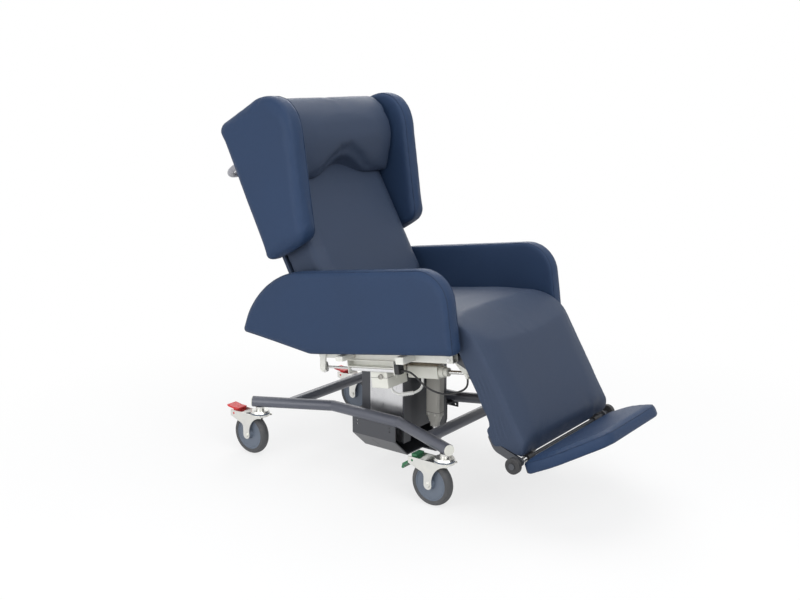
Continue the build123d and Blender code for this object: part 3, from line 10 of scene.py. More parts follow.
import bpy
import numpy as np
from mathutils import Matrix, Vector


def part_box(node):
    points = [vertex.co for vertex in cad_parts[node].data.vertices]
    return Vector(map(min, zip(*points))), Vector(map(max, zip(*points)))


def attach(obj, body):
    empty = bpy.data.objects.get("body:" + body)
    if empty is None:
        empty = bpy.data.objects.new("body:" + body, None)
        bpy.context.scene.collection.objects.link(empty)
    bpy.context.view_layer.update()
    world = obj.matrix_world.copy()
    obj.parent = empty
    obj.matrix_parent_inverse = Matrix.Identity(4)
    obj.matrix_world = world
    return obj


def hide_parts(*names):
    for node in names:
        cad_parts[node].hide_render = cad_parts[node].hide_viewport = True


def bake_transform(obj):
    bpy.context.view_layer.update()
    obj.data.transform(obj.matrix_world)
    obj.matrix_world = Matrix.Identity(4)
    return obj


LOG = logging.getLogger("care_chair")
logging.basicConfig(level=logging.INFO, format="%(message)s")

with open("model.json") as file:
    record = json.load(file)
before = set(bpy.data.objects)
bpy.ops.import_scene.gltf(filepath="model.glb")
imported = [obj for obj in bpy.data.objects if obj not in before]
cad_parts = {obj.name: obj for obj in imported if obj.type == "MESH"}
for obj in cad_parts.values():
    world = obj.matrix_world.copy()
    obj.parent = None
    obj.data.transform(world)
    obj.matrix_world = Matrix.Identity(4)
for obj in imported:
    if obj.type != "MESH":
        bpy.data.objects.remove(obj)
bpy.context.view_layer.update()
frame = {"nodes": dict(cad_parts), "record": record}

Colour = tuple[float, float, float]
Outline = tuple[tuple[float, float], ...]
Rounds = tuple[float, ...]
Point = tuple[float, float, float]

UP = Vector((0.0, 0.0, 1.0))
SMOOTH_ANGLE = 35.0


class Side(Enum):
    """The two sides of the chair, as the sign of X."""

    RIGHT = -1
    LEFT = 1


class Grain(Enum):
    """How the grain of a bright metal runs."""

    ROLLED = "rolled"
    TURNED = "turned"
    PLATED = "plated"


class SidePlane:
    """Upright plane across the chair: a runs rearward and b is up, leaning back by an angle."""

    def __init__(self, y: float, z: float, lean: float) -> None:
        """Place the plane.

        Args:
            y: Y of its origin in metres.
            z: Z of its origin in metres.
            lean: backward lean of b in degrees.
        """
        self.origin = Vector((0.0, y, z))
        turn = math.radians(lean)
        self.along = Vector((0.0, math.cos(turn), -math.sin(turn)))
        self.up = Vector((0.0, math.sin(turn), math.cos(turn)))

    def spot(self, a: float, b: float, x: float = 0.0) -> Vector:
        """World point of a and b on the plane, at the given X."""
        return self.origin + self.along * a + self.up * b + Vector((x, 0.0, 0.0))


BASE_Y = 0.147
SEAT = SidePlane(BASE_Y - 0.126, 0.596, 7.5)
BACK_HINGE = SEAT.spot(0.258, -0.073)
BACK = SidePlane(BACK_HINGE.y, BACK_HINGE.z, 29.0)
LEG_HINGE = SEAT.spot(-0.242, -0.147)
LEG = SidePlane(LEG_HINGE.y, LEG_HINGE.z, 29.5)
FOOT_HINGE = LEG.spot(-0.104, -0.364)
FOOT = SidePlane(FOOT_HINGE.y, FOOT_HINGE.z, 27.0)


class Sock:
    """A shader value: Python arithmetic on it adds Math nodes to its tree."""

    def __init__(self, tree: bpy.types.NodeTree, socket: bpy.types.NodeSocket) -> None:
        """Wrap one output socket of a node tree."""
        self.tree = tree
        self.socket = socket

    def _math(self, operation: str, *values: Any) -> "Sock":
        """Add a Math node.

        Args:
            operation: the Math node's operation.
            values: its inputs, as Sock or number.

        Returns:
            The node's result.
        """
        node = self.tree.nodes.new("ShaderNodeMath")
        node.operation = operation
        for place, value in enumerate(values):
            if isinstance(value, Sock):
                self.tree.links.new(value.socket, node.inputs[place])
            else:
                node.inputs[place].default_value = value
        return Sock(self.tree, node.outputs[0])

    def __add__(self, other: Any) -> "Sock":
        """Sum."""
        return self._math("ADD", self, other)

    def __radd__(self, other: Any) -> "Sock":
        """Sum, reflected."""
        return self._math("ADD", other, self)

    def __sub__(self, other: Any) -> "Sock":
        """Difference."""
        return self._math("SUBTRACT", self, other)

    def __rsub__(self, other: Any) -> "Sock":
        """Difference, reflected."""
        return self._math("SUBTRACT", other, self)

    def __mul__(self, other: Any) -> "Sock":
        """Product."""
        return self._math("MULTIPLY", self, other)

    def __rmul__(self, other: Any) -> "Sock":
        """Product, reflected."""
        return self._math("MULTIPLY", other, self)

    def clamp(self) -> "Sock":
        """The value held between 0 and 1."""
        low = self._math("MAXIMUM", self, 0.0)
        return self._math("MINIMUM", low, 1.0)

    def smooth(self, low: float, high: float) -> "Sock":
        """The value as a soft step.

        Args:
            low: where the step starts.
            high: where it ends.

        Returns:
            0 below low, 1 above high, smooth between.
        """
        node = self.tree.nodes.new("ShaderNodeMapRange")
        node.interpolation_type = "SMOOTHSTEP"
        self.tree.links.new(self.socket, node.inputs["Value"])
        node.inputs["From Min"].default_value = low
        node.inputs["From Max"].default_value = high
        return Sock(self.tree, node.outputs["Result"])


class Paintbox:
    """One material under construction: a principled shader and the nodes that feed it."""

    def __init__(self, name: str) -> None:
        """Start an empty material of that name."""
        self.material = bpy.data.materials.new(name)
        self.material.use_nodes = True
        self.tree = self.material.node_tree
        self.shader = next(n for n in self.tree.nodes if n.type == "BSDF_PRINCIPLED")
        coords = self.tree.nodes.new("ShaderNodeTexCoord")
        self.place = Sock(self.tree, coords.outputs["Object"])

    def node(self, kind: str, settings: dict[str, Any], **inputs: Any) -> bpy.types.Node:
        """Add any node.

        Args:
            kind: the node's type name.
            settings: attributes set first.
            inputs: socket values or links, with underscores for spaces.

        Returns:
            The new node.
        """
        node = self.tree.nodes.new(kind)
        for key, value in settings.items():
            setattr(node, key, value)
        for key, value in inputs.items():
            socket = node.inputs[key.replace("_", " ")]
            if isinstance(value, Sock):
                self.tree.links.new(value.socket, socket)
            else:
                socket.default_value = value
        return node

    def stretch(self, scale: Point) -> Sock:
        """Object coordinates, stretched by a factor along each axis."""
        node = self.node("ShaderNodeMapping", {}, Vector=self.place, Scale=scale)
        return Sock(self.tree, node.outputs["Vector"])

    def noise(self, scale: float, detail: float, where: Sock | None = None) -> Sock:
        """Noise value from 0 to 1.

        Args:
            scale: cells to the metre.
            detail: octaves.
            where: coordinates, or the object's own.

        Returns:
            The noise.
        """
        node = self.node(
            "ShaderNodeTexNoise", {}, Vector=where or self.place, Scale=scale, Detail=detail, Roughness=0.55
        )
        return Sock(self.tree, node.outputs[0])

    def cells(self, scale: float) -> Sock:
        """Distance to the edge in a pattern of so many cells to the metre."""
        node = self.node("ShaderNodeTexVoronoi", {"feature": "DISTANCE_TO_EDGE"}, Vector=self.place, Scale=scale)
        return Sock(self.tree, node.outputs["Distance"])

    def blend(self, factor: Sock, first: Sock | Colour, second: Colour) -> Sock:
        """Mix two colours by a factor.

        Args:
            factor: share of the second colour.
            first: colour at 0.
            second: colour at 1.

        Returns:
            The mixed colour.
        """
        node = self.node("ShaderNodeMix", {"data_type": "RGBA"})
        self.tree.links.new(factor.socket, node.inputs[0])
        if isinstance(first, Sock):
            self.tree.links.new(first.socket, node.inputs[6])
        else:
            node.inputs[6].default_value = (*first, 1.0)
        node.inputs[7].default_value = (*second, 1.0)
        return Sock(self.tree, node.outputs[2])

    def feed(self, name: str, value: Any) -> None:
        """Give one input of the principled shader a link or a number.

        Args:
            name: the input's name.
            value: Sock or number.
        """
        socket = self.shader.inputs[name]
        if isinstance(value, Sock):
            self.tree.links.new(value.socket, socket)
        else:
            socket.default_value = value

    def bump(self, height: Sock, depth: float, strength: float) -> None:
        """Raise the surface by a height pattern.

        Args:
            height: pattern from 0 to 1.
            depth: height of 1 in metres.
            strength: share of the effect.
        """
        node = self.node("ShaderNodeBump", {}, Height=height, Distance=depth, Strength=strength)
        self.tree.links.new(node.outputs["Normal"], self.shader.inputs["Normal"])


def shade(colour: Colour, factor: float) -> Colour:
    """A colour made lighter or darker by a factor."""
    return tuple(min(1.0, c * factor) for c in colour)


@dataclass(frozen=True)
class Vinyl:
    """Coated upholstery cloth with a fine pebble grain; the grooves between the pebbles are painted darker as painted
    shade.
    """

    name: str
    colour: Colour
    grain: float = 620.0

    def make(self) -> bpy.types.Material:
        """Build the material."""
        box = Paintbox(self.name)
        broad = box.noise(5.0, 2.0)
        fine = box.noise(900.0, 2.0)
        pebble = box.cells(self.grain).smooth(0.0, 0.28)
        creases = box.noise(38.0, 5.0)
        tone = box.blend((broad * 0.75 + fine * 0.25).clamp(), shade(self.colour, 0.86), shade(self.colour, 1.14))
        # Painted shade: the colour is darkened in the grooves between the pebbles, where the bump sinks.
        tone = box.blend((1.0 - pebble) * 0.35, tone, shade(self.colour, 0.55))
        box.feed("Base Color", tone)
        box.feed("Roughness", 0.5 + (broad - 0.5) * 0.14 + (1.0 - pebble) * 0.08)
        box.feed("Specular IOR Level", 0.2)
        box.bump(pebble * 0.8 + creases * 1.6, 0.00016, 0.55)
        return box.material


@dataclass(frozen=True)
class Paint:
    """Powder coat on steel, with its faint orange peel and a few dull rubs."""

    name: str
    colour: Colour
    roughness: float = 0.38

    def make(self) -> bpy.types.Material:
        """Build the material."""
        box = Paintbox(self.name)
        peel = box.noise(700.0, 2.0)
        rubs = box.noise(26.0, 6.0).smooth(0.58, 0.74)
        speck = box.noise(1900.0, 1.0)
        tone = box.blend(speck, shade(self.colour, 0.9), shade(self.colour, 1.1))
        tone = box.blend(rubs * 0.16, tone, shade(self.colour, 1.5))
        box.feed("Base Color", tone)
        box.feed("Roughness", self.roughness + rubs * 0.14 + (peel - 0.5) * 0.06)
        box.feed("Coat Roughness", 0.2)
        box.feed("Coat Weight", 0.12)
        box.bump(peel, 0.00008, 0.5)
        return box.material


@dataclass(frozen=True)
class Bright:
    """Bare or plated metal with its rolled, turned or plated grain."""

    name: str
    colour: Colour
    grain: Grain
    roughness: float = 0.3

    def make(self) -> bpy.types.Material:
        """Build the material."""
        box = Paintbox(self.name)
        cloud = box.noise(34.0, 5.0)
        if self.grain is Grain.ROLLED:
            lines = box.noise(1.0, 4.0, box.stretch((900.0, 900.0, 14.0)))
        elif self.grain is Grain.TURNED:
            lines = box.noise(1.0, 3.0, box.stretch((1500.0, 60.0, 60.0)))
        else:
            lines = box.noise(420.0, 4.0)
        tone = box.blend((cloud * 0.6 + lines * 0.4).clamp(), shade(self.colour, 0.84), shade(self.colour, 1.12))
        if self.grain is Grain.PLATED:
            tone = box.blend(cloud.smooth(0.52, 0.8) * 0.22, tone, (0.70, 0.66, 0.52))
        box.feed("Base Color", tone)
        box.feed("Metallic", 1.0)
        box.feed("Roughness", self.roughness + (lines - 0.5) * 0.18 + (cloud - 0.5) * 0.08)
        box.bump(lines, 0.00004, 0.4)
        return box.material


@dataclass(frozen=True)
class Moulding:
    """Moulded plastic with a spark-eroded surface."""

    name: str
    colour: Colour
    roughness: float = 0.48

    def make(self) -> bpy.types.Material:
        """Build the material."""
        box = Paintbox(self.name)
        spark = box.noise(1500.0, 2.0)
        flow = box.noise(22.0, 3.0)
        scuff = box.noise(90.0, 6.0).smooth(0.62, 0.78)
        tone = box.blend((flow * 0.7 + spark * 0.3).clamp(), shade(self.colour, 0.92), shade(self.colour, 1.08))
        tone = box.blend(scuff * 0.1, tone, shade(self.colour, 1.35))
        box.feed("Base Color", tone)
        box.feed("Roughness", self.roughness + (spark - 0.5) * 0.1 + scuff * 0.08)
        box.bump(spark, 0.00006, 0.5)
        return box.material


@dataclass(frozen=True)
class Tread:
    """Rubber with a dusty bloom."""

    name: str
    colour: Colour
    dust: Colour = (0.20, 0.19, 0.18)

    def make(self) -> bpy.types.Material:
        """Build the material."""
        box = Paintbox(self.name)
        fine = box.noise(800.0, 3.0)
        patches = box.noise(40.0, 5.0)
        tone = box.blend(fine, shade(self.colour, 0.85), shade(self.colour, 1.15))
        tone = box.blend(patches.smooth(0.5, 0.8) * 0.3, tone, self.dust)
        box.feed("Base Color", tone)
        box.feed("Roughness", 0.62 + (patches - 0.5) * 0.2)
        box.bump(fine, 0.0001, 0.5)
        return box.material


@dataclass(frozen=True)
class Ply:
    """Plywood: long grain on the faces and layers at the edges."""

    name: str
    colour: Colour

    def make(self) -> bpy.types.Material:
        """Build the material."""
        box = Paintbox(self.name)
        rings = box.noise(1.0, 6.0, box.stretch((6.0, 90.0, 90.0)))
        pores = box.noise(1.0, 3.0, box.stretch((60.0, 1400.0, 1400.0)))
        tone = box.blend(rings, shade(self.colour, 0.7), shade(self.colour, 1.2))
        tone = box.blend(pores.smooth(0.6, 0.75) * 0.4, tone, shade(self.colour, 0.45))
        box.feed("Base Color", tone)
        box.feed("Roughness", 0.6 + (rings - 0.5) * 0.2)
        box.bump(pores, 0.0001, 0.5)
        return box.material


class Store:
    """All the finishes of the chair, made once and kept by name."""

    SPECIAL = {
        "push_handle": "handle_paint",
        "lift_column": "dark_paint",
        "back_panel": "grey_vinyl",
        # Painted shade: the foot hinge rod is darkened to stand in for the shadow between the legrest's lower end and
        # the footplate.
        "foot_hinge_rod": "dark_paint",
    }

    def __init__(self) -> None:
        """Make every finish."""
        finishes = [
            Vinyl("grey_vinyl", (0.037, 0.054, 0.094)),
            Vinyl("blue_vinyl", (0.021, 0.043, 0.096)),
            Vinyl("welt_vinyl", (0.014, 0.029, 0.066), 900.0),
            Paint("handle_paint", (0.30, 0.30, 0.33), 0.4),
            Paint("slate_paint", (0.082, 0.088, 0.112)),
            # Real dark paint on the lift column; on the foot hinge rod this dark finish is painted shade.
            Paint("dark_paint", (0.046, 0.049, 0.058), 0.44),
            Paint("cream_paint", (0.68, 0.68, 0.63), 0.36),
            Bright("stainless", (0.62, 0.62, 0.63), Grain.ROLLED, 0.3),
            Bright("zinc", (0.70, 0.70, 0.67), Grain.PLATED, 0.34),
            Bright("bright_steel", (0.62, 0.62, 0.61), Grain.TURNED, 0.27),
            Bright("chrome", (0.80, 0.80, 0.81), Grain.TURNED, 0.12),
            Moulding("cream_plastic", (0.70, 0.70, 0.64)),
            Moulding("actuator_grey", (0.42, 0.41, 0.38)),
            Moulding("black_plastic", (0.022, 0.022, 0.024), 0.5),
            Moulding("white_plastic", (0.74, 0.74, 0.72), 0.42),
            Moulding("wheel_plastic", (0.115, 0.14, 0.18), 0.46),
            Moulding("seal_plastic", (0.09, 0.12, 0.17), 0.5),
            Moulding("line_plastic", (0.05, 0.05, 0.048), 0.6),
            Moulding("red_plastic", (0.58, 0.028, 0.03), 0.4),
            Moulding("green_plastic", (0.025, 0.14, 0.06), 0.4),
            Tread("grey_tyre", (0.058, 0.060, 0.064)),
            Tread("black_rubber", (0.022, 0.022, 0.024), (0.09, 0.09, 0.09)),
            Ply("plywood", (0.42, 0.29, 0.17)),
        ]
        self.by_name = {finish.name: finish.make() for finish in finishes}

    def put(self, obj: bpy.types.Object, name: str) -> None:
        """Give an object one finish all over.

        Args:
            obj: the object.
            name: the finish.
        """
        obj.data.materials.clear()
        obj.data.materials.append(self.by_name[name])

    def trim(self, obj: bpy.types.Object, finish: str, slot: str, body: str) -> bpy.types.Object:
        """Dress a piece of trim.

        Args:
            obj: the piece.
            finish: its finish.
            slot: its slot in the record; not used.
            body: the body it rides on.

        Returns:
            The same piece.
        """
        self.put(obj, finish)
        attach(obj, body)
        return obj

    def cover(self, pad: bpy.types.Object, vinyl: str, fill: float, *nodes: str) -> None:
        """Dress a stuffed cover and put it in place of its solids.

        Args:
            pad: the cover.
            vinyl: its finish.
            fill: how firmly it is stuffed; not used.
            nodes: the solids.
        """
        self.put(pad, vinyl)
        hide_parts(*nodes)

    def dress_frame(self) -> None:
        """Give every CAD node its special finish, or that of its slot in the record."""
        slots = {row["node"]: row["material_slot"] for row in frame["record"]["subparts"]}
        for name, node in frame["nodes"].items():
            finish = self.by_name[self.SPECIAL.get(name, slots[name])]
            if not node.material_slots:
                node.data.materials.append(finish)
            for slot in node.material_slots:
                slot.material = finish


class Bench:
    """Modelling moves by operator, on one active object at a time."""

    @staticmethod
    def clear() -> None:
        """Leave edit mode and deselect everything."""
        if bpy.context.object and bpy.context.object.mode != "OBJECT":
            bpy.ops.object.mode_set(mode="OBJECT")
        bpy.ops.object.select_all(action="DESELECT")

    @staticmethod
    def take(obj: bpy.types.Object) -> None:
        """Make an object the only selected and active one."""
        Bench.clear()
        obj.select_set(True)
        bpy.context.view_layer.objects.active = obj

    @staticmethod
    def modify(obj: bpy.types.Object, kind: str, **settings: Any) -> None:
        """Add a modifier and apply it.

        Args:
            obj: the object.
            kind: the modifier's type.
            settings: its attributes.
        """
        Bench.take(obj)
        bpy.ops.object.modifier_add(type=kind)
        modifier = obj.modifiers[-1]
        for key, value in settings.items():
            setattr(modifier, key, value)
        bpy.ops.object.modifier_apply(modifier=modifier.name)

    @staticmethod
    def named(name: str) -> bpy.types.Object:
        """Name the primitive just added and give it back."""
        obj = bpy.context.object
        obj.name = obj.data.name = name
        return obj

    @staticmethod
    def stand(obj: bpy.types.Object, way: Vector, place: Vector) -> None:
        """Turn an object's Z to a direction, put it in place and apply both.

        Args:
            obj: the object.
            way: direction of its Z.
            place: where its origin goes.
        """
        obj.rotation_euler = UP.rotation_difference(way).to_euler()
        obj.location = place
        Bench.settle(obj)

    @staticmethod
    def combine(obj: bpy.types.Object, tool: bpy.types.Object, operation: str) -> None:
        """Join or cut an object with a tool shape, and drop the tool.

        Args:
            obj: the object.
            tool: the shape joined on or cut away.
            operation: UNION or DIFFERENCE.
        """
        Bench.modify(obj, "BOOLEAN", operation=operation, object=tool, solver="EXACT")
        bpy.data.objects.remove(tool)

    @staticmethod
    def settle(obj: bpy.types.Object) -> None:
        """Move the object's place into its mesh."""
        Bench.take(obj)
        bpy.ops.object.transform_apply(location=True, rotation=True, scale=True)

    @staticmethod
    def smooth(obj: bpy.types.Object) -> None:
        """Shade smooth, with edges kept where faces meet at a steep angle."""
        Bench.take(obj)
        bpy.ops.object.shade_smooth_by_angle(angle=math.radians(SMOOTH_ANGLE))

    @staticmethod
    def pick(obj: bpy.types.Object, kind: str, test: Callable[[Any], bool]) -> None:
        """Enter edit mode with the elements selected that pass a test.

        Args:
            obj: the object.
            kind: VERT, EDGE or FACE.
            test: called with each mesh element.
        """
        Bench.take(obj)
        bpy.ops.object.mode_set(mode="EDIT")
        bpy.ops.mesh.select_mode(type=kind)
        bpy.ops.mesh.select_all(action="DESELECT")
        bpy.ops.object.mode_set(mode="OBJECT")
        mesh = obj.data
        elements = {"VERT": mesh.vertices, "EDGE": mesh.edges, "FACE": mesh.polygons}[kind]
        for element in elements:
            element.select = bool(test(element))
        bpy.ops.object.mode_set(mode="EDIT")

    @staticmethod
    def done() -> None:
        """Return to object mode."""
        bpy.ops.object.mode_set(mode="OBJECT")

    @staticmethod
    def outward(obj: bpy.types.Object) -> None:
        """Merge doubles and point all faces outwards."""
        Bench.take(obj)
        bpy.ops.object.mode_set(mode="EDIT")
        bpy.ops.mesh.select_all(action="SELECT")
        bpy.ops.mesh.remove_doubles(threshold=0.00002)
        bpy.ops.mesh.normals_make_consistent(inside=False)
        Bench.done()

    @staticmethod
    def sheet(name: str, corners: Sequence[Vector], rounds: Sequence[float], steps: int) -> bpy.types.Object:
        """A flat face with rounded corners.

        Args:
            name: the object's name.
            corners: corner points in order.
            rounds: radius at each corner, 0 for a sharp one.
            steps: segments in a full corner.

        Returns:
            The new object.
        """
        Bench.clear()
        bpy.ops.mesh.primitive_circle_add(vertices=len(corners), radius=1.0, fill_type="NGON")
        obj = Bench.named(name)
        for vertex, corner in zip(obj.data.vertices, corners):
            vertex.co = corner
        for place, radius in enumerate(rounds):
            if radius <= 0:
                continue
            here = Vector(corners[place])
            before = Vector(corners[place - 1]) - here
            after = Vector(corners[(place + 1) % len(corners)]) - here
            turn = math.pi - before.angle(after)
            reach = radius * math.tan(turn / 2)
            count = max(3, round(steps * turn / math.radians(90)))
            Bench.pick(obj, "VERT", lambda v: (v.co - here).length < 1e-6)
            bpy.ops.mesh.bevel(offset=reach, segments=count, affect="VERTICES", profile=0.5)
            Bench.done()
        return obj

    @staticmethod
    def thicken(obj: bpy.types.Object, way: Vector, rim: float, far_rim: float, steps: int) -> None:
        """Extrude a flat face into a slab and round its two rims.

        Args:
            obj: the flat face.
            way: extrusion.
            rim: rounding where the face was.
            far_rim: rounding at the other end.
            steps: segments of the rounding.
        """
        start = obj.data.vertices[0].co.copy()
        direction = way.normalized()
        Bench.pick(obj, "FACE", lambda f: True)
        bpy.ops.mesh.extrude_region_move(TRANSFORM_OT_translate={"value": way})
        Bench.done()
        Bench.outward(obj)

        for level, radius in ((0.0, rim), (way.length, far_rim)):

            def on_rim(edge: bpy.types.MeshEdge, level: float = level) -> bool:
                """Edges that lie in the flat face at that level."""
                heights = [(obj.data.vertices[i].co - start).dot(direction) for i in edge.vertices]
                return max(abs(h - level) for h in heights) < 1e-5

            Bench.pick(obj, "EDGE", on_rim)
            bpy.ops.mesh.bevel(offset=radius, segments=steps, affect="EDGES", profile=0.5, clamp_overlap=True)
            Bench.done()


@dataclass
class Stuffing:
    """How a foam piece is filled: its mesh size, pressure and how far the cover may swell."""

    voxel: float
    pressure: float
    cap: float
    frames: int
    relax: int

    def fill(
        self,
        obj: bpy.types.Object,
        keep: Callable[[np.ndarray, np.ndarray], np.ndarray],
        shape: Callable[[np.ndarray], np.ndarray] | None = None,
    ) -> None:
        """Swell a closed shape like a stuffed cover.

        Args:
            obj: the closed shape, slightly small.
            keep: share of the swelling allowed, from points and normals.
            shape: moves the points of the remeshed shape before it swells.
        """
        Bench.modify(obj, "REMESH", mode="VOXEL", voxel_size=self.voxel)
        rest = self.points(obj.data)
        if shape:
            rest = shape(rest)
            self.move_to(obj.data, rest)
        swollen = self._simulate(obj)
        move = swollen - rest
        reach = np.linalg.norm(move, axis=1, keepdims=True)
        limit = self.cap * keep(rest, self._normals(obj.data)).reshape(-1, 1)
        move *= np.minimum(1.0, limit / np.maximum(reach, 1e-9))
        self.move_to(obj.data, rest + move)
        Bench.modify(obj, "SMOOTH", factor=0.5, iterations=self.relax)
        Bench.modify(obj, "SUBSURF", levels=1, render_levels=1)
        Bench.take(obj)
        bpy.ops.object.shade_smooth()

    @staticmethod
    def move_to(mesh: bpy.types.Mesh, points: np.ndarray) -> None:
        """Put the vertices of a mesh at new points."""
        mesh.vertices.foreach_set("co", points.astype(np.float32).ravel())
        mesh.update()

    @staticmethod
    def points(mesh: bpy.types.Mesh) -> np.ndarray:
        """Vertex positions of a mesh."""
        flat = np.empty(len(mesh.vertices) * 3, np.float32)
        mesh.vertices.foreach_get("co", flat)
        return flat.reshape(-1, 3).astype(float)

    @staticmethod
    def _normals(mesh: bpy.types.Mesh) -> np.ndarray:
        """Vertex normals of a mesh."""
        return np.array([v.normal for v in mesh.vertices], float)

    def _simulate(self, obj: bpy.types.Object) -> np.ndarray:
        """Run cloth with inner pressure.

        Args:
            obj: the remeshed cover.

        Returns:
            Vertex positions after the last frame.
        """
        Bench.take(obj)
        bpy.ops.object.modifier_add(type="CLOTH")
        cloth = obj.modifiers[-1]
        cloth.settings.quality = 4
        cloth.settings.mass = 0.35
        cloth.settings.tension_stiffness = 18
        cloth.settings.compression_stiffness = 18
        cloth.settings.bending_stiffness = 1.2
        cloth.settings.use_pressure = True
        cloth.settings.uniform_pressure_force = self.pressure
        cloth.settings.effector_weights.gravity = 0.0
        cloth.collision_settings.use_collision = False
        cloth.point_cache.frame_start = 1
        cloth.point_cache.frame_end = self.frames
        scene = bpy.context.scene
        for number in range(1, self.frames + 1):
            scene.frame_set(number)
        graph = bpy.context.evaluated_depsgraph_get()
        shaped = obj.evaluated_get(graph)
        points = self.points(shaped.data)
        obj.modifiers.remove(cloth)
        scene.frame_set(1)
        return points


class Seams:
    """Welts sewn along the edges of a cover."""

    def __init__(self, store: Store) -> None:
        """Keep the store of finishes."""
        self.store = store

    def welt(
        self, name: str, pad: bpy.types.Object, corners: Sequence[Vector], rounds: Rounds, radius: float, body: str
    ) -> None:
        """Sew a thin welt along an outline on a finished cover.

        Args:
            name: the piece's name.
            pad: the cover it is sewn to.
            corners: corner points of the seam.
            rounds: radius at each corner.
            radius: the welt's radius.
            body: the body it rides on.
        """
        face = Bench.sheet("seam_line", corners, rounds, 12)
        line = [face.data.vertices[i].co.copy() for i in face.data.polygons[0].vertices]
        bpy.data.objects.remove(face)
        Bench.clear()
        bpy.ops.mesh.primitive_circle_add(vertices=len(line), radius=1.0, fill_type="NOTHING")
        wire = Bench.named(name)
        for vertex, point in zip(wire.data.vertices, line):
            vertex.co = point
        Bench.pick(wire, "EDGE", lambda e: True)
        bpy.ops.mesh.subdivide(number_cuts=3)
        Bench.done()
        Bench.modify(wire, "SHRINKWRAP", target=pad, wrap_method="NEAREST_SURFACEPOINT", offset=-0.25 * radius)
        Bench.modify(wire, "SMOOTH", factor=0.5, iterations=3)
        Bench.take(wire)
        bpy.ops.object.convert(target="CURVE")
        wire.data.bevel_depth = radius
        wire.data.bevel_resolution = 2
        wire.data.use_fill_caps = True
        Bench.take(wire)
        bpy.ops.object.convert(target="MESH")
        Bench.take(wire)
        bpy.ops.object.shade_smooth()
        self.store.trim(wire, "welt_vinyl", "blue_vinyl", body)


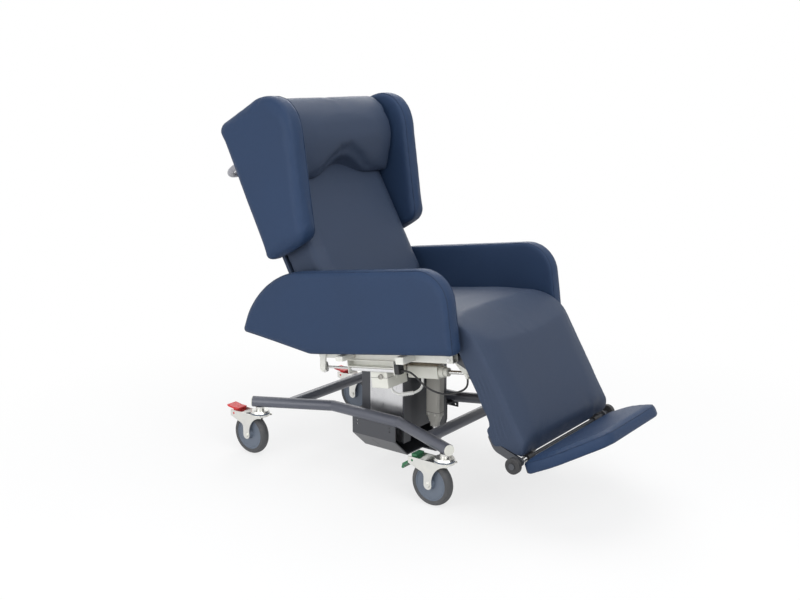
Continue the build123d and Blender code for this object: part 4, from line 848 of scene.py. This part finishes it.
@dataclass
class WaterfallSeat:
    """Seat and legrest in one cover that bends over the knee roll."""

    half: float = 0.282
    leg_front: float = 0.145
    leg_back: float = 0.056
    toe: float = 0.328
    leg_low: float = 0.359
    rim: float = 0.018
    rounds: Rounds = (0.006, 0.022, 0.30, 0.130, 0.016, 0.010, 0.008, 0.056, 0.01)
    tuck: Outline = ((-0.078, -0.226), (-0.034, -0.236), (-0.034, -0.300), (-0.070, -0.306))
    tuck_rounds: Rounds = (0.004, 0.014, 0.012, 0.004)
    tuck_width: float = 0.021
    apron: Outline = (
        (-0.124, -0.330),
        (-0.124, -0.361),
        (-0.113, -0.361),
        (-0.113, -0.353),
        (-0.068, -0.353),
        (-0.058, -0.300),
    )
    apron_rounds: Rounds = (0.004, 0.003, 0.003, 0.002, 0.008, 0.006)
    apron_half: float = 0.192
    fold_depth: float = 0.0017
    fold_pitch: float = 430.0
    stuffing: Stuffing = field(default_factory=lambda: Stuffing(0.0085, 4.0, 0.012, 18, 8))

    @staticmethod
    def _cross(p: Vector, d: Vector, q: Vector, e: Vector) -> Vector:
        """Where two lines of the side view meet.

        Args:
            p: point of the first line.
            d: its direction.
            q: point of the second line.
            e: its direction.

        Returns:
            The meeting point.
        """
        det = d.y * e.z - d.z * e.y
        gap = q - p
        share = (gap.y * e.z - gap.z * e.y) / det
        return p + d * share

    def _flap(self, cover: bpy.types.Object, side: Side) -> None:
        """Add the tuck of the cover round the end of the legrest's side.

        Args:
            cover: the closed shape.
            side: which side of it.
        """
        x = side.value * (self.half - 0.0215)
        flap = Bench.sheet("tuck", [LEG.spot(q, u, x) for q, u in self.tuck], self.tuck_rounds, 6)
        Bench.thicken(flap, Vector((side.value * self.tuck_width, 0.0, 0.0)), 0.005, 0.005, 3)
        Bench.combine(cover, flap, "UNION")

    def _apron(self, cover: bpy.types.Object) -> None:
        """Bring the cover down to the foot hinge rod between its knuckles.

        Args:
            cover: the closed shape.
        """
        corners = [LEG.spot(q, u, -self.apron_half) for q, u in self.apron]
        apron = Bench.sheet("apron", corners, self.apron_rounds, 6)
        Bench.thicken(apron, Vector((2 * self.apron_half, 0.0, 0.0)), 0.006, 0.006, 3)
        Bench.combine(cover, apron, "UNION")

    def _crease(self, cover: bpy.types.Object) -> None:
        """Press slack folds into the sides of the legrest.

        Args:
            cover: the stuffed cover.
        """
        points = Stuffing.points(cover.data)
        rise = points - np.array(LEG.origin)
        q, u = rise @ np.array(LEG.along), rise @ np.array(LEG.up)
        flank = np.clip((np.abs(points[:, 0]) - self.half + 0.020) / 0.012, 0.0, 1.0)
        band = np.clip((u + 0.300) / 0.05, 0.0, 1.0) * np.clip((-0.045 - u) / 0.06, 0.0, 1.0)
        depth = np.clip((q + 0.128) / 0.03, 0.0, 1.0)
        wave = np.sin((q + 0.16 * u) * self.fold_pitch + 1.6 * np.sin(u * 31.0))
        fold = wave * (0.6 + 0.4 * np.sin(u * 47.0 + 1.0))
        points[:, 0] += np.sign(points[:, 0]) * self.fold_depth * fold * flank * band * depth
        Stuffing.move_to(cover.data, points)

    def build(self, store: Store) -> bpy.types.Object:
        """Model, stuff and dress the cover.

        Args:
            store: the finishes.

        Returns:
            The cover.
        """
        brow = SEAT.spot(-0.150, -0.003)
        front = LEG.spot(-self.leg_front, 0.0)
        knee = self._cross(brow, SEAT.along * -1.0 - SEAT.up * 0.10, front, LEG.up)
        inner_start = SEAT.spot(-0.112, -0.101)
        inner = self._cross(inner_start, SEAT.along * -1.0 + SEAT.up * 0.17, LEG.spot(-self.leg_back, 0.0), LEG.up)
        corners = [
            SEAT.spot(0.142, -0.101),
            SEAT.spot(0.148, -0.004),
            brow,
            knee,
            LEG.spot(-self.leg_front, -self.toe),
            LEG.spot(-0.116, -self.leg_low),
            LEG.spot(-self.leg_back, -0.296),
            inner,
            inner_start,
        ]
        corners = [c + Vector((-self.half, 0.0, 0.0)) for c in corners]
        cover = Bench.sheet("seat_legrest_cover", corners, self.rounds, 14)
        Bench.thicken(cover, Vector((2 * self.half, 0.0, 0.0)), self.rim, self.rim, 5)

        for side in Side:
            self._flap(cover, side)
        self._apron(cover)

        def keep(points: np.ndarray, normals: np.ndarray) -> np.ndarray:
            """Swell on the sitter's side, little below and at the arms."""
            up = normals @ np.array(SEAT.up)
            fore = normals @ np.array(LEG.along * -1.0)
            open_side = np.clip(np.maximum(up, fore), 0.0, 1.0)
            edge = np.clip((self.half + 0.004 - np.abs(points[:, 0])) / 0.10, 0.25, 1.0)
            return np.clip(open_side * edge + 0.12, 0.0, 1.0)

        self.stuffing.fill(cover, keep)
        self._crease(cover)
        store.cover(cover, "grey_vinyl", 0.7, "seat_cushion", "legrest_cushion")
        SEAT.spot(-0.165, 0.0)
        LEG.spot(-self.leg_front, -0.03)
        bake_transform(cover)
        return cover


@dataclass
class Arm:
    """Upholstered side panel with a rounded front and a swept rear."""

    side: Side
    inner: float = 0.290
    width: float = 0.057
    rim: float = 0.011
    ease: float = 0.001
    swell_room: float = 0.004
    rounds: Rounds = (0.016, 0.112, 0.300, 0.013, 0.076)
    seam_inset: float = 0.006
    welt_radius: float = 0.0016
    stuffing: Stuffing = field(default_factory=lambda: Stuffing(0.0075, 3.0, 0.006, 14, 3))

    def corners(self, inset: float, x: float) -> list[Vector]:
        """Corner points of the panel.

        Args:
            inset: how far inside the outline.
            x: X of the points.

        Returns:
            The points in order.
        """
        i = inset
        flat = [
            (-0.324 + i, -0.122 + i),
            (-0.324 + i, 0.1555 - i),
            (0.490 - 0.5 * i, 0.1555 - i),
            (0.581 - 1.6 * i, -0.060 + 0.4 * i),
            (0.268, -0.1375 + i),
        ]
        return [SEAT.spot(a, b, x) for a, b in flat]

    def build(self, store: Store, seams: Seams) -> bpy.types.Object:
        """Model, stuff and dress the arm and its welts.

        Args:
            store: the finishes.
            seams: the welt maker.

        Returns:
            The arm.
        """
        sign = self.side.value
        word = self.side.name.lower()
        near = sign * (self.inner + self.ease)
        pad = Bench.sheet(f"arm_cover_{word}", self.corners(0.003, near), self.rounds, 12)
        Bench.thicken(pad, Vector((sign * (self.width - self.swell_room), 0.0, 0.0)), self.rim, self.rim, 4)

        def keep(points: np.ndarray, normals: np.ndarray) -> np.ndarray:
            """Swell outwards and on top, little against the seat."""
            return np.where(normals[:, 0] * sign < -0.6, 0.15, 0.75)

        self.stuffing.fill(pad, keep)
        store.cover(pad, "blue_vinyl", 0.8, f"arm_{word}")
        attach(pad, "seat_frame")
        edge = self.seam_inset
        for place, x in (("outer", self.inner + self.width - edge), ("inner", self.inner + edge)):
            corners = self.corners(edge, sign * x)
            seams.welt(f"arm_welt_{place}_{word}", pad, corners, self.rounds, self.welt_radius, "seat_frame")
        return pad


@dataclass
class Wing:
    """Upholstered side wing of the back."""

    side: Side
    inner: float = 0.268
    outer: float = 0.344
    rim: float = 0.030
    outer_rim: float = 0.028
    ease: float = 0.001
    swell_room: float = 0.004
    rounds: Rounds = (0.020, 0.036, 0.134, 0.050)
    seam_inset: float = 0.006
    seam_depth: float = 0.012
    welt_radius: float = 0.0016
    stuffing: Stuffing = field(default_factory=lambda: Stuffing(0.0075, 3.0, 0.007, 14, 3))

    @staticmethod
    def corners(inset: float, x: float) -> list[Vector]:
        """Corner points of the wing.

        Args:
            inset: how far inside the outline.
            x: X of the points.

        Returns:
            The points in order.
        """
        i = inset
        flat = [(0.055 - i, 0.292 + i), (0.032 - i, 0.797 - i), (-0.346 + 1.2 * i, 0.797 - i), (-0.150 + i, 0.292 + i)]
        return [BACK.spot(q, u, x) for q, u in flat]

    def build(self, store: Store, seams: Seams) -> bpy.types.Object:
        """Model, stuff and dress the wing and its welt.

        Args:
            store: the finishes.
            seams: the welt maker.

        Returns:
            The wing.
        """
        sign = self.side.value
        word = self.side.name.lower()
        corners = self.corners(0.001, sign * (self.inner + self.ease))
        pad = Bench.sheet(f"wing_cover_{word}", corners, self.rounds, 12)
        width = self.outer - self.inner - self.swell_room
        Bench.thicken(pad, Vector((sign * width, 0.0, 0.0)), self.rim, self.outer_rim, 5)

        def keep(points: np.ndarray, normals: np.ndarray) -> np.ndarray:
            """Swell outwards and round the edge, little towards the back."""
            return np.where(normals[:, 0] * sign < -0.6, 0.2, 0.8)

        self.stuffing.fill(pad, keep)
        store.cover(pad, "blue_vinyl", 0.8, f"wing_{word}")
        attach(pad, "backrest")
        corners = self.corners(self.seam_inset, sign * (self.inner + self.seam_depth))
        seams.welt(f"wing_welt_{word}", pad, corners, self.rounds, self.welt_radius, "backrest")
        return pad


@dataclass
class Back:
    """Back cushion and the headrest pillow over it."""

    half: float = 0.263
    foot_half: float = 0.246
    foot_height: float = 0.120
    front: float = 0.100
    rear: float = 0.033
    top: float = 0.780
    rounds: Rounds = (0.008, 0.026, 0.045, 0.008, 0.01, 0.01)
    notch_width: float = 0.10
    notch_depth: float = 0.40
    pillow_half: float = 0.260
    pillow_low: float = 0.508
    arch_half: float = 0.160
    pillow_rounds: Rounds = (0.003, 0.005, 0.08, 0.09, 0.08, 0.05, 0.04, 0.01)
    arch_depth: float = 0.052
    stuffing: Stuffing = field(default_factory=lambda: Stuffing(0.0085, 4.0, 0.012, 18, 5))
    pillow_stuffing: Stuffing = field(default_factory=lambda: Stuffing(0.0075, 4.0, 0.018, 18, 6))

    def build_cushion(self, store: Store) -> bpy.types.Object:
        """Model, stuff and dress the back cushion.

        Args:
            store: the finishes.

        Returns:
            The cushion.
        """
        flat = [
            (0.008, 0.012),
            (-self.front, 0.012),
            (-self.front, self.top),
            (self.rear, self.top),
            (self.rear, 0.135),
            (0.008, 0.100),
        ]
        corners = [BACK.spot(q, u, -self.half) for q, u in flat]
        pad = Bench.sheet("back_cover", corners, self.rounds, 10)
        Bench.thicken(pad, Vector((2 * self.half, 0.0, 0.0)), 0.022, 0.022, 4)
        for side in Side:
            Bench.clear()
            bpy.ops.mesh.primitive_cube_add(size=1.0)
            notch = bpy.context.object
            notch.scale = (self.notch_width, self.notch_depth, 2 * self.foot_height)
            Bench.stand(notch, BACK.up, BACK.spot(0.0, 0.0, side.value * (self.foot_half + self.notch_width / 2)))
            Bench.modify(notch, "BEVEL", width=0.012, segments=3)
            Bench.combine(pad, notch, "DIFFERENCE")

        def keep(points: np.ndarray, normals: np.ndarray) -> np.ndarray:
            """Swell to the front."""
            return np.clip(normals @ np.array(BACK.along * -1.0), 0.0, 1.0) * 0.9 + 0.08

        self.stuffing.fill(pad, keep)
        store.cover(pad, "grey_vinyl", 0.7, "back_cushion")
        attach(pad, "backrest")
        return pad

    def build_pillow(self, store: Store) -> bpy.types.Object:
        """Model, arch, stuff and dress the headrest pillow.

        Args:
            store: the finishes.

        Returns:
            The pillow.
        """
        low = self.pillow_low
        flat = [
            (-0.112, low),
            (-0.130, low),
            (-0.168, low + 0.050),
            (-0.207, low + 0.104),
            (-0.222, low + 0.156),
            (-0.222, 0.728),
            (-0.190, 0.791),
            (-0.112, 0.795),
        ]
        corners = [BACK.spot(q, u, -self.pillow_half) for q, u in flat]
        pad = Bench.sheet("headrest_pillow", corners, self.pillow_rounds, 10)
        Bench.thicken(pad, Vector((2 * self.pillow_half, 0.0, 0.0)), 0.026, 0.026, 4)

        def arch(points: np.ndarray) -> np.ndarray:
            """Press the lower edge up to an arch and leave the face above it alone."""
            rise = (points - np.array(BACK.origin)) @ np.array(BACK.up)
            across = np.clip(np.abs(points[:, 0]) / self.arch_half, 0.0, 1.0)
            edge = low + self.arch_depth * 0.5 * (1.0 + np.cos(math.pi * across))
            lift = np.clip(edge - rise, 0.0, None) * 0.92
            return points + lift[:, None] * np.array(BACK.up)

        def keep(points: np.ndarray, normals: np.ndarray) -> np.ndarray:
            """Swell to the front and along the lower edge."""
            return np.clip(normals @ np.array(BACK.along * -1.0) + 0.35, 0.05, 1.0)

        self.pillow_stuffing.fill(pad, keep, arch)
        store.cover(pad, "grey_vinyl", 0.75, "headrest")
        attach(pad, "backrest")
        return pad


@dataclass
class FootPad:
    """Upholstered top of the footplate."""

    half: float = 0.2885
    near: float = 0.0145
    shoulder: float = 0.112
    depth: float = 0.2585
    toe_half: float = 0.179
    top: float = -0.004
    thickness: float = 0.038
    rounds: Rounds = (0.006, 0.078, 0.078, 0.078, 0.078, 0.006)
    seam_inset: float = 0.004
    seam_depth: float = 0.003
    welt_radius: float = 0.0014
    stuffing: Stuffing = field(default_factory=lambda: Stuffing(0.006, 3.0, 0.007, 12, 3))

    def corners(self, inset: float, height: float) -> list[Vector]:
        """Corner points of the pad.

        Args:
            inset: how far inside the outline.
            height: place along the plate's normal.

        Returns:
            The points in order.
        """
        i = inset
        flat = [
            (-self.half + i, -self.near - i),
            (-self.half + i, -self.shoulder),
            (-self.toe_half + i, -self.depth + i),
            (self.toe_half - i, -self.depth + i),
            (self.half - i, -self.shoulder),
            (self.half - i, -self.near - i),
        ]
        return [FOOT.spot(a, height, x) for x, a in flat]

    def build(self, store: Store, seams: Seams) -> bpy.types.Object:
        """Model, stuff and dress the pad and its welt.

        Args:
            store: the finishes.
            seams: the welt maker.

        Returns:
            The pad.
        """
        pad = Bench.sheet("footplate_cover", self.corners(0.001, self.top), self.rounds, 12)
        Bench.thicken(pad, FOOT.up * -self.thickness, 0.008, 0.006, 4)

        def keep(points: np.ndarray, normals: np.ndarray) -> np.ndarray:
            """Swell upwards."""
            return np.clip(normals @ np.array(FOOT.up), 0.0, 1.0) * 0.9 + 0.05

        self.stuffing.fill(pad, keep)
        store.cover(pad, "blue_vinyl", 0.8, "footplate_pad")
        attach(pad, "footplate")
        corners = self.corners(self.seam_inset, self.top - self.seam_depth)
        seams.welt("footplate_welt", pad, corners, self.rounds, self.welt_radius, "footplate")
        return pad


@dataclass
class Leads:
    """Release cable of the recline lock and the lead to the legrest drive."""

    cable_diameter: float = 0.0065
    lead_diameter: float = 0.009
    cable_length: float = 0.2687
    lead_length: float = 0.161
    cable: tuple[Point, ...] = (
        (-0.256, -0.053, -0.190),
        (-0.256, -0.078, -0.190),
        (-0.246, -0.094, -0.207),
        (-0.236, -0.106, -0.229),
        (-0.226, -0.121, -0.249),
        (-0.216, -0.144, -0.264),
        (-0.206, -0.167, -0.273),
        (-0.196, -0.191, -0.274),
        (-0.185, -0.214, -0.268),
        (-0.172, -0.230, -0.262),
        (-0.1625, -0.238, -0.247),
        (-0.1625, -0.238, -0.228),
    )
    lead: tuple[Point, ...] = (
        (-0.200, 0.046, -0.257),
        (-0.200, 0.046, -0.278),
        (-0.186, 0.028, -0.291),
        (-0.170, 0.004, -0.291),
        (-0.150, -0.020, -0.288),
        (-0.134, -0.030, -0.277),
        (-0.125, -0.030, -0.260),
        (-0.125, -0.030, -0.2438),
    )

    def build(self, store: Store) -> list[bpy.types.Object]:
        """Lay both leads on smooth splines.

        Args:
            store: the finishes.

        Returns:
            The two leads.
        """
        made = []
        for name, route, diameter, length, finish in (
            ("release_cable", self.cable, self.cable_diameter, self.cable_length, "black_plastic"),
            ("motor_lead", self.lead, self.lead_diameter, self.lead_length, "white_plastic"),
        ):
            curve = bpy.data.curves.new(f"{name}_run", "CURVE")
            curve.dimensions = "3D"
            spline = curve.splines.new("NURBS")
            spline.points.add(len(route) - 1)
            for point, (x, a, b) in zip(spline.points, route):
                point.co = (*SEAT.spot(a, b, x), 1.0)
            spline.order_u = 3
            spline.use_endpoint_u = True
            spline.resolution_u = 12
            curve.bevel_depth = diameter / 2
            curve.bevel_resolution = 5
            curve.use_fill_caps = True
            run = bpy.data.objects.new(f"{name}_run", curve)
            bpy.context.scene.collection.objects.link(run)
            curve.materials.append(store.by_name[finish])
            x, a, b = route[0]
            SEAT.spot(a, b, x)
            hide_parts(name)
            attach(run, "seat_frame")
            made.append(run)
        return made


@dataclass
class CastorTrim:
    """Seal ring in the raceway groove of one castor."""

    corner: str
    head_radius: float = 0.0335
    sunk: float = 0.0001
    groove: float = 0.005
    play: float = 0.0006
    level: float = 0.1615
    head_reach: float = 0.034

    def build(self, store: Store) -> bpy.types.Object:
        """Model and dress the ring.

        Args:
            store: the finishes.

        Returns:
            The ring.
        """
        fork_low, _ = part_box(f"castor_{self.corner}_fork")
        wheel_low, wheel_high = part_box(f"castor_{self.corner}_wheel")
        centre = ((wheel_low[0] + wheel_high[0]) / 2, fork_low[1] + self.head_reach, self.level)
        Bench.clear()
        bpy.ops.mesh.primitive_cylinder_add(
            vertices=48, radius=self.head_radius - self.sunk, depth=self.groove - self.play, location=centre
        )
        seal = Bench.named(f"castor_seal_{self.corner}")
        Bench.pick(seal, "FACE", lambda f: abs(f.normal.z) > 0.9)
        bpy.ops.mesh.inset(thickness=0.0016)
        bpy.ops.mesh.delete(type="FACE")
        Bench.done()
        Bench.settle(seal)
        Bench.modify(seal, "SOLIDIFY", thickness=0.0015, offset=-1.0)
        Bench.modify(seal, "BEVEL", width=0.0006, segments=2, limit_method="ANGLE")
        Bench.smooth(seal)
        return store.trim(seal, "seal_plastic", "wheel_plastic", f"castor_{self.corner}")


@dataclass
class Screw:
    """Small screw head with a round recess, on a flat face."""

    radius: float = 0.0042
    height: float = 0.0018

    def build(self, store: Store, name: str, place: Vector, way: Vector, body: str) -> bpy.types.Object:
        """Model one head and seat it.

        Args:
            store: the finishes.
            name: the piece's name.
            place: point on the face.
            way: outward direction of the face.
            body: the body it rides on.

        Returns:
            The head.
        """
        Bench.clear()
        bpy.ops.mesh.primitive_cylinder_add(vertices=24, radius=self.radius, depth=self.height)
        head = Bench.named(name)
        Bench.pick(head, "FACE", lambda f: f.normal.z > 0.9)
        bpy.ops.mesh.inset(thickness=self.radius * 0.22, depth=self.height * 0.3)
        bpy.ops.mesh.inset(thickness=self.radius * 0.42)
        bpy.ops.mesh.extrude_region_move(TRANSFORM_OT_translate={"value": (0.0, 0.0, -self.height * 0.7)})
        Bench.done()
        Bench.modify(head, "BEVEL", width=0.0002, segments=2, limit_method="ANGLE")
        Bench.stand(head, way, place + way * (self.height * 0.4))
        Bench.smooth(head)
        return store.trim(head, "zinc", "zinc", body)


@dataclass
class DriveTrim:
    """Part lines, screws, socket and plug of the control box and the lift drive."""

    box_near: float = -0.245
    box_width: float = 0.108
    box_front: float = 0.023
    box_length: float = 0.070
    box_top: float = -0.199
    box_height: float = 0.058
    lid: float = 0.021
    line: float = 0.0012
    proud: float = 0.0004
    lift_x: float = 0.020
    lift_y: float = BASE_Y - 0.152
    lift_half: float = 0.028
    line_levels: tuple[float, float] = (0.199, 0.376)
    screw_levels: tuple[float, float] = (0.192, 0.384)
    screw_reach: float = 0.014
    plug_radius: float = 0.0072
    ribs: int = 5
    rib_pitch: float = 0.0062
    rib_width: float = 0.0024
    screw: Screw = field(default_factory=Screw)

    def _band(
        self, store: Store, name: str, corners: Sequence[Vector], rounding: float, way: Vector, body: str
    ) -> bpy.types.Object:
        """A part line round a housing.

        Args:
            store: the finishes.
            name: the piece's name.
            corners: its outline.
            rounding: corner radius.
            way: thickness of the line.
            body: the body it rides on.

        Returns:
            The line.
        """
        band = Bench.sheet(name, corners, [rounding] * len(corners), 6)
        Bench.thicken(band, way, self.proud * 0.4, self.proud * 0.4, 2)
        Bench.smooth(band)
        return store.trim(band, "line_plastic", "black_plastic", body)

    def _box(self, store: Store) -> list[bpy.types.Object]:
        """Lid line, clip and socket of the control box.

        Args:
            store: the finishes.

        Returns:
            The three pieces.
        """
        p = self.proud
        far = self.box_near + self.box_width
        rear = self.box_front + self.box_length
        height = self.box_top - self.lid
        outline = [
            SEAT.spot(a, height, x)
            for x, a in (
                (self.box_near - p, self.box_front - p),
                (far + p, self.box_front - p),
                (far + p, rear + p),
                (self.box_near - p, rear + p),
            )
        ]
        made = [self._band(store, "control_box_lid_line", outline, 0.004, SEAT.up * -self.line, "seat_frame")]
        Bench.clear()
        bpy.ops.mesh.primitive_cube_add(size=1.0)
        clip = Bench.named("control_box_clip")
        clip.scale = (0.011, 0.005, 0.017)
        Bench.stand(clip, SEAT.up, SEAT.spot(self.box_front - 0.0008, height - 0.002, (self.box_near + far) / 2))
        Bench.modify(clip, "BEVEL", width=0.0012, segments=3)
        Bench.smooth(clip)
        made.append(store.trim(clip, "cream_plastic", "cream_plastic", "seat_frame"))
        Bench.clear()
        bpy.ops.mesh.primitive_cylinder_add(vertices=32, radius=0.0085, depth=0.011)
        socket = Bench.named("control_box_socket")
        Bench.pick(socket, "FACE", lambda f: f.normal.z > 0.9)
        bpy.ops.mesh.inset(thickness=0.0022)
        bpy.ops.mesh.extrude_region_move(TRANSFORM_OT_translate={"value": (0.0, 0.0, -0.006)})
        Bench.done()
        Bench.modify(socket, "BEVEL", width=0.0007, segments=2, limit_method="ANGLE")
        socket.rotation_euler = (0.0, math.radians(-90.0), 0.0)
        socket.location = SEAT.spot(self.box_front + 0.024, self.box_top - 0.017, self.box_near - 0.0035)
        Bench.settle(socket)
        Bench.smooth(socket)
        made.append(store.trim(socket, "actuator_grey", "actuator_grey", "seat_frame"))
        return made

    def _plug(self, store: Store) -> bpy.types.Object:
        """Ribbed sleeve on the lead to the legrest drive.

        Args:
            store: the finishes.

        Returns:
            The sleeve.
        """
        start = SEAT.spot(0.019, -0.291, -0.180)
        end = SEAT.spot(-0.011, -0.2893, -0.158)
        length = (end - start).length
        Bench.clear()
        bpy.ops.mesh.primitive_cylinder_add(vertices=32, radius=self.plug_radius, depth=length)
        plug = Bench.named("motor_lead_plug")
        for rib in range(self.ribs):
            level = -length / 2 + (rib + 1) * self.rib_pitch
            for edge in (level, level + self.rib_width):
                Bench.pick(plug, "FACE", lambda f: True)
                bpy.ops.mesh.bisect(plane_co=(0.0, 0.0, edge), plane_no=(0.0, 0.0, 1.0))
                Bench.done()
            mid = level + self.rib_width / 2
            Bench.pick(plug, "FACE", lambda f: abs(f.center.z - mid) < 0.0008 and abs(f.normal.z) < 0.5)
            bpy.ops.mesh.extrude_region_shrink_fatten(TRANSFORM_OT_shrink_fatten={"value": -0.0014})
            Bench.done()
        Bench.modify(plug, "BEVEL", width=0.0004, segments=2, limit_method="ANGLE")
        Bench.stand(plug, (end - start).normalized(), (start + end) / 2)
        Bench.outward(plug)
        Bench.smooth(plug)
        return store.trim(plug, "white_plastic", "white_plastic", "seat_frame")

    def build(self, store: Store) -> list[bpy.types.Object]:
        """Model and dress all of the trim.

        Args:
            store: the finishes.

        Returns:
            The pieces.
        """
        made = self._box(store)
        made.append(self._plug(store))
        p = self.proud
        cut = 2 * self.lift_x / 6 + p
        x, y, half = self.lift_x + p, self.lift_y, self.lift_half + p
        corner = [
            (-x + cut, -half), (x - cut, -half), (x, -half + cut), (x, half - cut),
            (x - cut, half), (-x + cut, half), (-x, half - cut), (-x, -half + cut),
        ]
        for name, z in zip(("low", "top"), self.line_levels):
            outline = [Vector((dx, y + dy, z)) for dx, dy in corner]
            made.append(self._band(store, f"lift_housing_{name}_line", outline, 0.0, UP * self.line, "lift_carriage"))
        left = Vector((-1.0, 0.0, 0.0))
        spots = [(dy, z) for z in self.screw_levels for dy in (-self.screw_reach, self.screw_reach)]
        for number, (dy, z) in enumerate(spots):
            place = Vector((-self.lift_x, y + dy, z))
            made.append(self.screw.build(store, f"lift_housing_screw_{number}", place, left, "lift_carriage"))
        return made


@dataclass
class Studio:
    """Floor, lights, world and the camera at the photo's place."""

    floor_size: float = 60.0
    floor_tone: float = 0.86
    near_glow: float = 0.74
    fade: tuple[float, float] = (0.70, 2.1)
    sky: Colour = (0.95, 0.97, 1.0)
    sky_strength: float = 0.36
    lens: float = 46.35
    sensor: float = 36.0
    eye: Point = (-2.799, -2.116 + BASE_Y, 1.362)
    turn: float = 52.9
    pitch: float = 12.64

    def build(self) -> None:
        """Set the stage."""
        scene = bpy.context.scene
        scene.view_settings.view_transform = "Standard"
        self._floor()
        self._world()
        self._lights()
        self._camera()

    @staticmethod
    def _white_to_camera(
        tree: bpy.types.NodeTree, out: bpy.types.Node, lit: bpy.types.Node, white: bpy.types.Node, share: Any
    ) -> None:
        """Show the camera, and what shines or is clear, a share of plain white.

        Args:
            tree: the node tree.
            out: its output.
            lit: what lights the object or takes its shadow.
            white: what is shown instead.
            share: how much of it, as Sock or number.
        """
        rays = tree.nodes.new("ShaderNodeLightPath")
        seen = Sock(tree, rays.outputs["Is Camera Ray"]) + Sock(tree, rays.outputs["Is Glossy Ray"])
        seen = (seen + Sock(tree, rays.outputs["Is Transmission Ray"])).clamp() * share
        mix = tree.nodes.new("ShaderNodeMixShader")
        for place, socket in enumerate((seen.socket, lit.outputs[0], white.outputs[0])):
            tree.links.new(socket, mix.inputs[place])
        tree.links.new(mix.outputs[0], out.inputs["Surface"])

    def _floor(self) -> None:
        """Pale floor that keeps the shadow."""
        Bench.clear()
        bpy.ops.mesh.primitive_plane_add(size=self.floor_size, location=(0.0, 0.0, 0.0))
        floor = Bench.named("floor")
        material = bpy.data.materials.new("pale_floor")
        material.use_nodes = True
        tree = material.node_tree
        tree.nodes.clear()
        out = tree.nodes.new("ShaderNodeOutputMaterial")
        matt = tree.nodes.new("ShaderNodeBsdfDiffuse")
        matt.inputs["Color"].default_value = (self.floor_tone, self.floor_tone, self.floor_tone, 1.0)
        glow = tree.nodes.new("ShaderNodeEmission")
        glow.inputs["Color"].default_value = (1.0, 1.0, 1.0, 1.0)
        place = tree.nodes.new("ShaderNodeTexCoord")
        reach = tree.nodes.new("ShaderNodeVectorMath")
        reach.operation = "LENGTH"
        tree.links.new(place.outputs["Object"], reach.inputs[0])
        far = Sock(tree, reach.outputs["Value"]).smooth(*self.fade)
        self._white_to_camera(tree, out, matt, glow, self.near_glow + far * (1.0 - self.near_glow))
        floor.data.materials.append(material)

    def _world(self) -> None:
        """White to the camera, soft grey to the light."""
        world = bpy.data.worlds.new("studio")
        bpy.context.scene.world = world
        world.use_nodes = True
        tree = world.node_tree
        tree.nodes.clear()
        out = tree.nodes.new("ShaderNodeOutputWorld")
        lit = tree.nodes.new("ShaderNodeBackground")
        lit.inputs["Color"].default_value = (*self.sky, 1.0)
        lit.inputs["Strength"].default_value = self.sky_strength
        white = tree.nodes.new("ShaderNodeBackground")
        white.inputs["Color"].default_value = (1.0, 1.0, 1.0, 1.0)
        self._white_to_camera(tree, out, lit, white, 1.0)

    @staticmethod
    def _lights() -> None:
        """Large soft lamps: key from the front, fill from the side, one from above, one from behind."""
        for name, place, aim, size, power in (
            ("key", (-1.6, -3.2, 3.0), (0.0, 0.0, 0.6), 3.2, 100.0),
            ("fill", (-3.3, 0.5, 1.0), (0.0, 0.1, 0.6), 2.6, 60.0),
            ("top", (0.3, 0.2, 3.6), (0.0, 0.0, 0.6), 3.4, 62.0),
            ("rim", (2.6, 1.9, 2.4), (0.0, 0.0, 0.7), 1.8, 34.0),
        ):
            lamp = bpy.data.lights.new(name, "AREA")
            lamp.size = size
            lamp.energy = power
            obj = bpy.data.objects.new(name, lamp)
            obj.location = place
            obj.rotation_euler = (Vector(aim) - Vector(place)).to_track_quat("-Z", "Y").to_euler()
            bpy.context.scene.collection.objects.link(obj)

    def _camera(self) -> None:
        """Camera at the photo's viewing angle."""
        data = bpy.data.cameras.new("camera")
        data.sensor_width = self.sensor
        data.lens = self.lens
        data.clip_end = 100.0
        camera = bpy.data.objects.new("camera", data)
        camera.location = self.eye
        turn = math.radians(self.turn)
        pitch = math.radians(self.pitch)
        way = Vector((math.sin(turn) * math.cos(pitch), math.cos(turn) * math.cos(pitch), -math.sin(pitch)))
        camera.rotation_euler = way.to_track_quat("-Z", "Y").to_euler()
        bpy.context.scene.collection.objects.link(camera)
        bpy.context.scene.camera = camera


def main() -> None:
    """Build the chair's looks in order and report each piece."""
    store = Store()
    store.dress_frame()
    seams = Seams(store)
    Studio().build()
    pieces: list[bpy.types.Object] = list(Leads().build(store))
    pieces.append(WaterfallSeat().build(store))
    back = Back()
    pieces.append(back.build_cushion(store))
    pieces.append(back.build_pillow(store))
    for side in Side:
        pieces.append(Arm(side).build(store, seams))
        pieces.append(Wing(side).build(store, seams))
    pieces.append(FootPad().build(store, seams))
    for corner in ("front_right", "front_left", "rear_right", "rear_left"):
        pieces.append(CastorTrim(corner).build(store))
    pieces.extend(DriveTrim().build(store))
    for piece in pieces:
        LOG.info("made %s", piece.name)


if __name__ == "__main__":
    main()
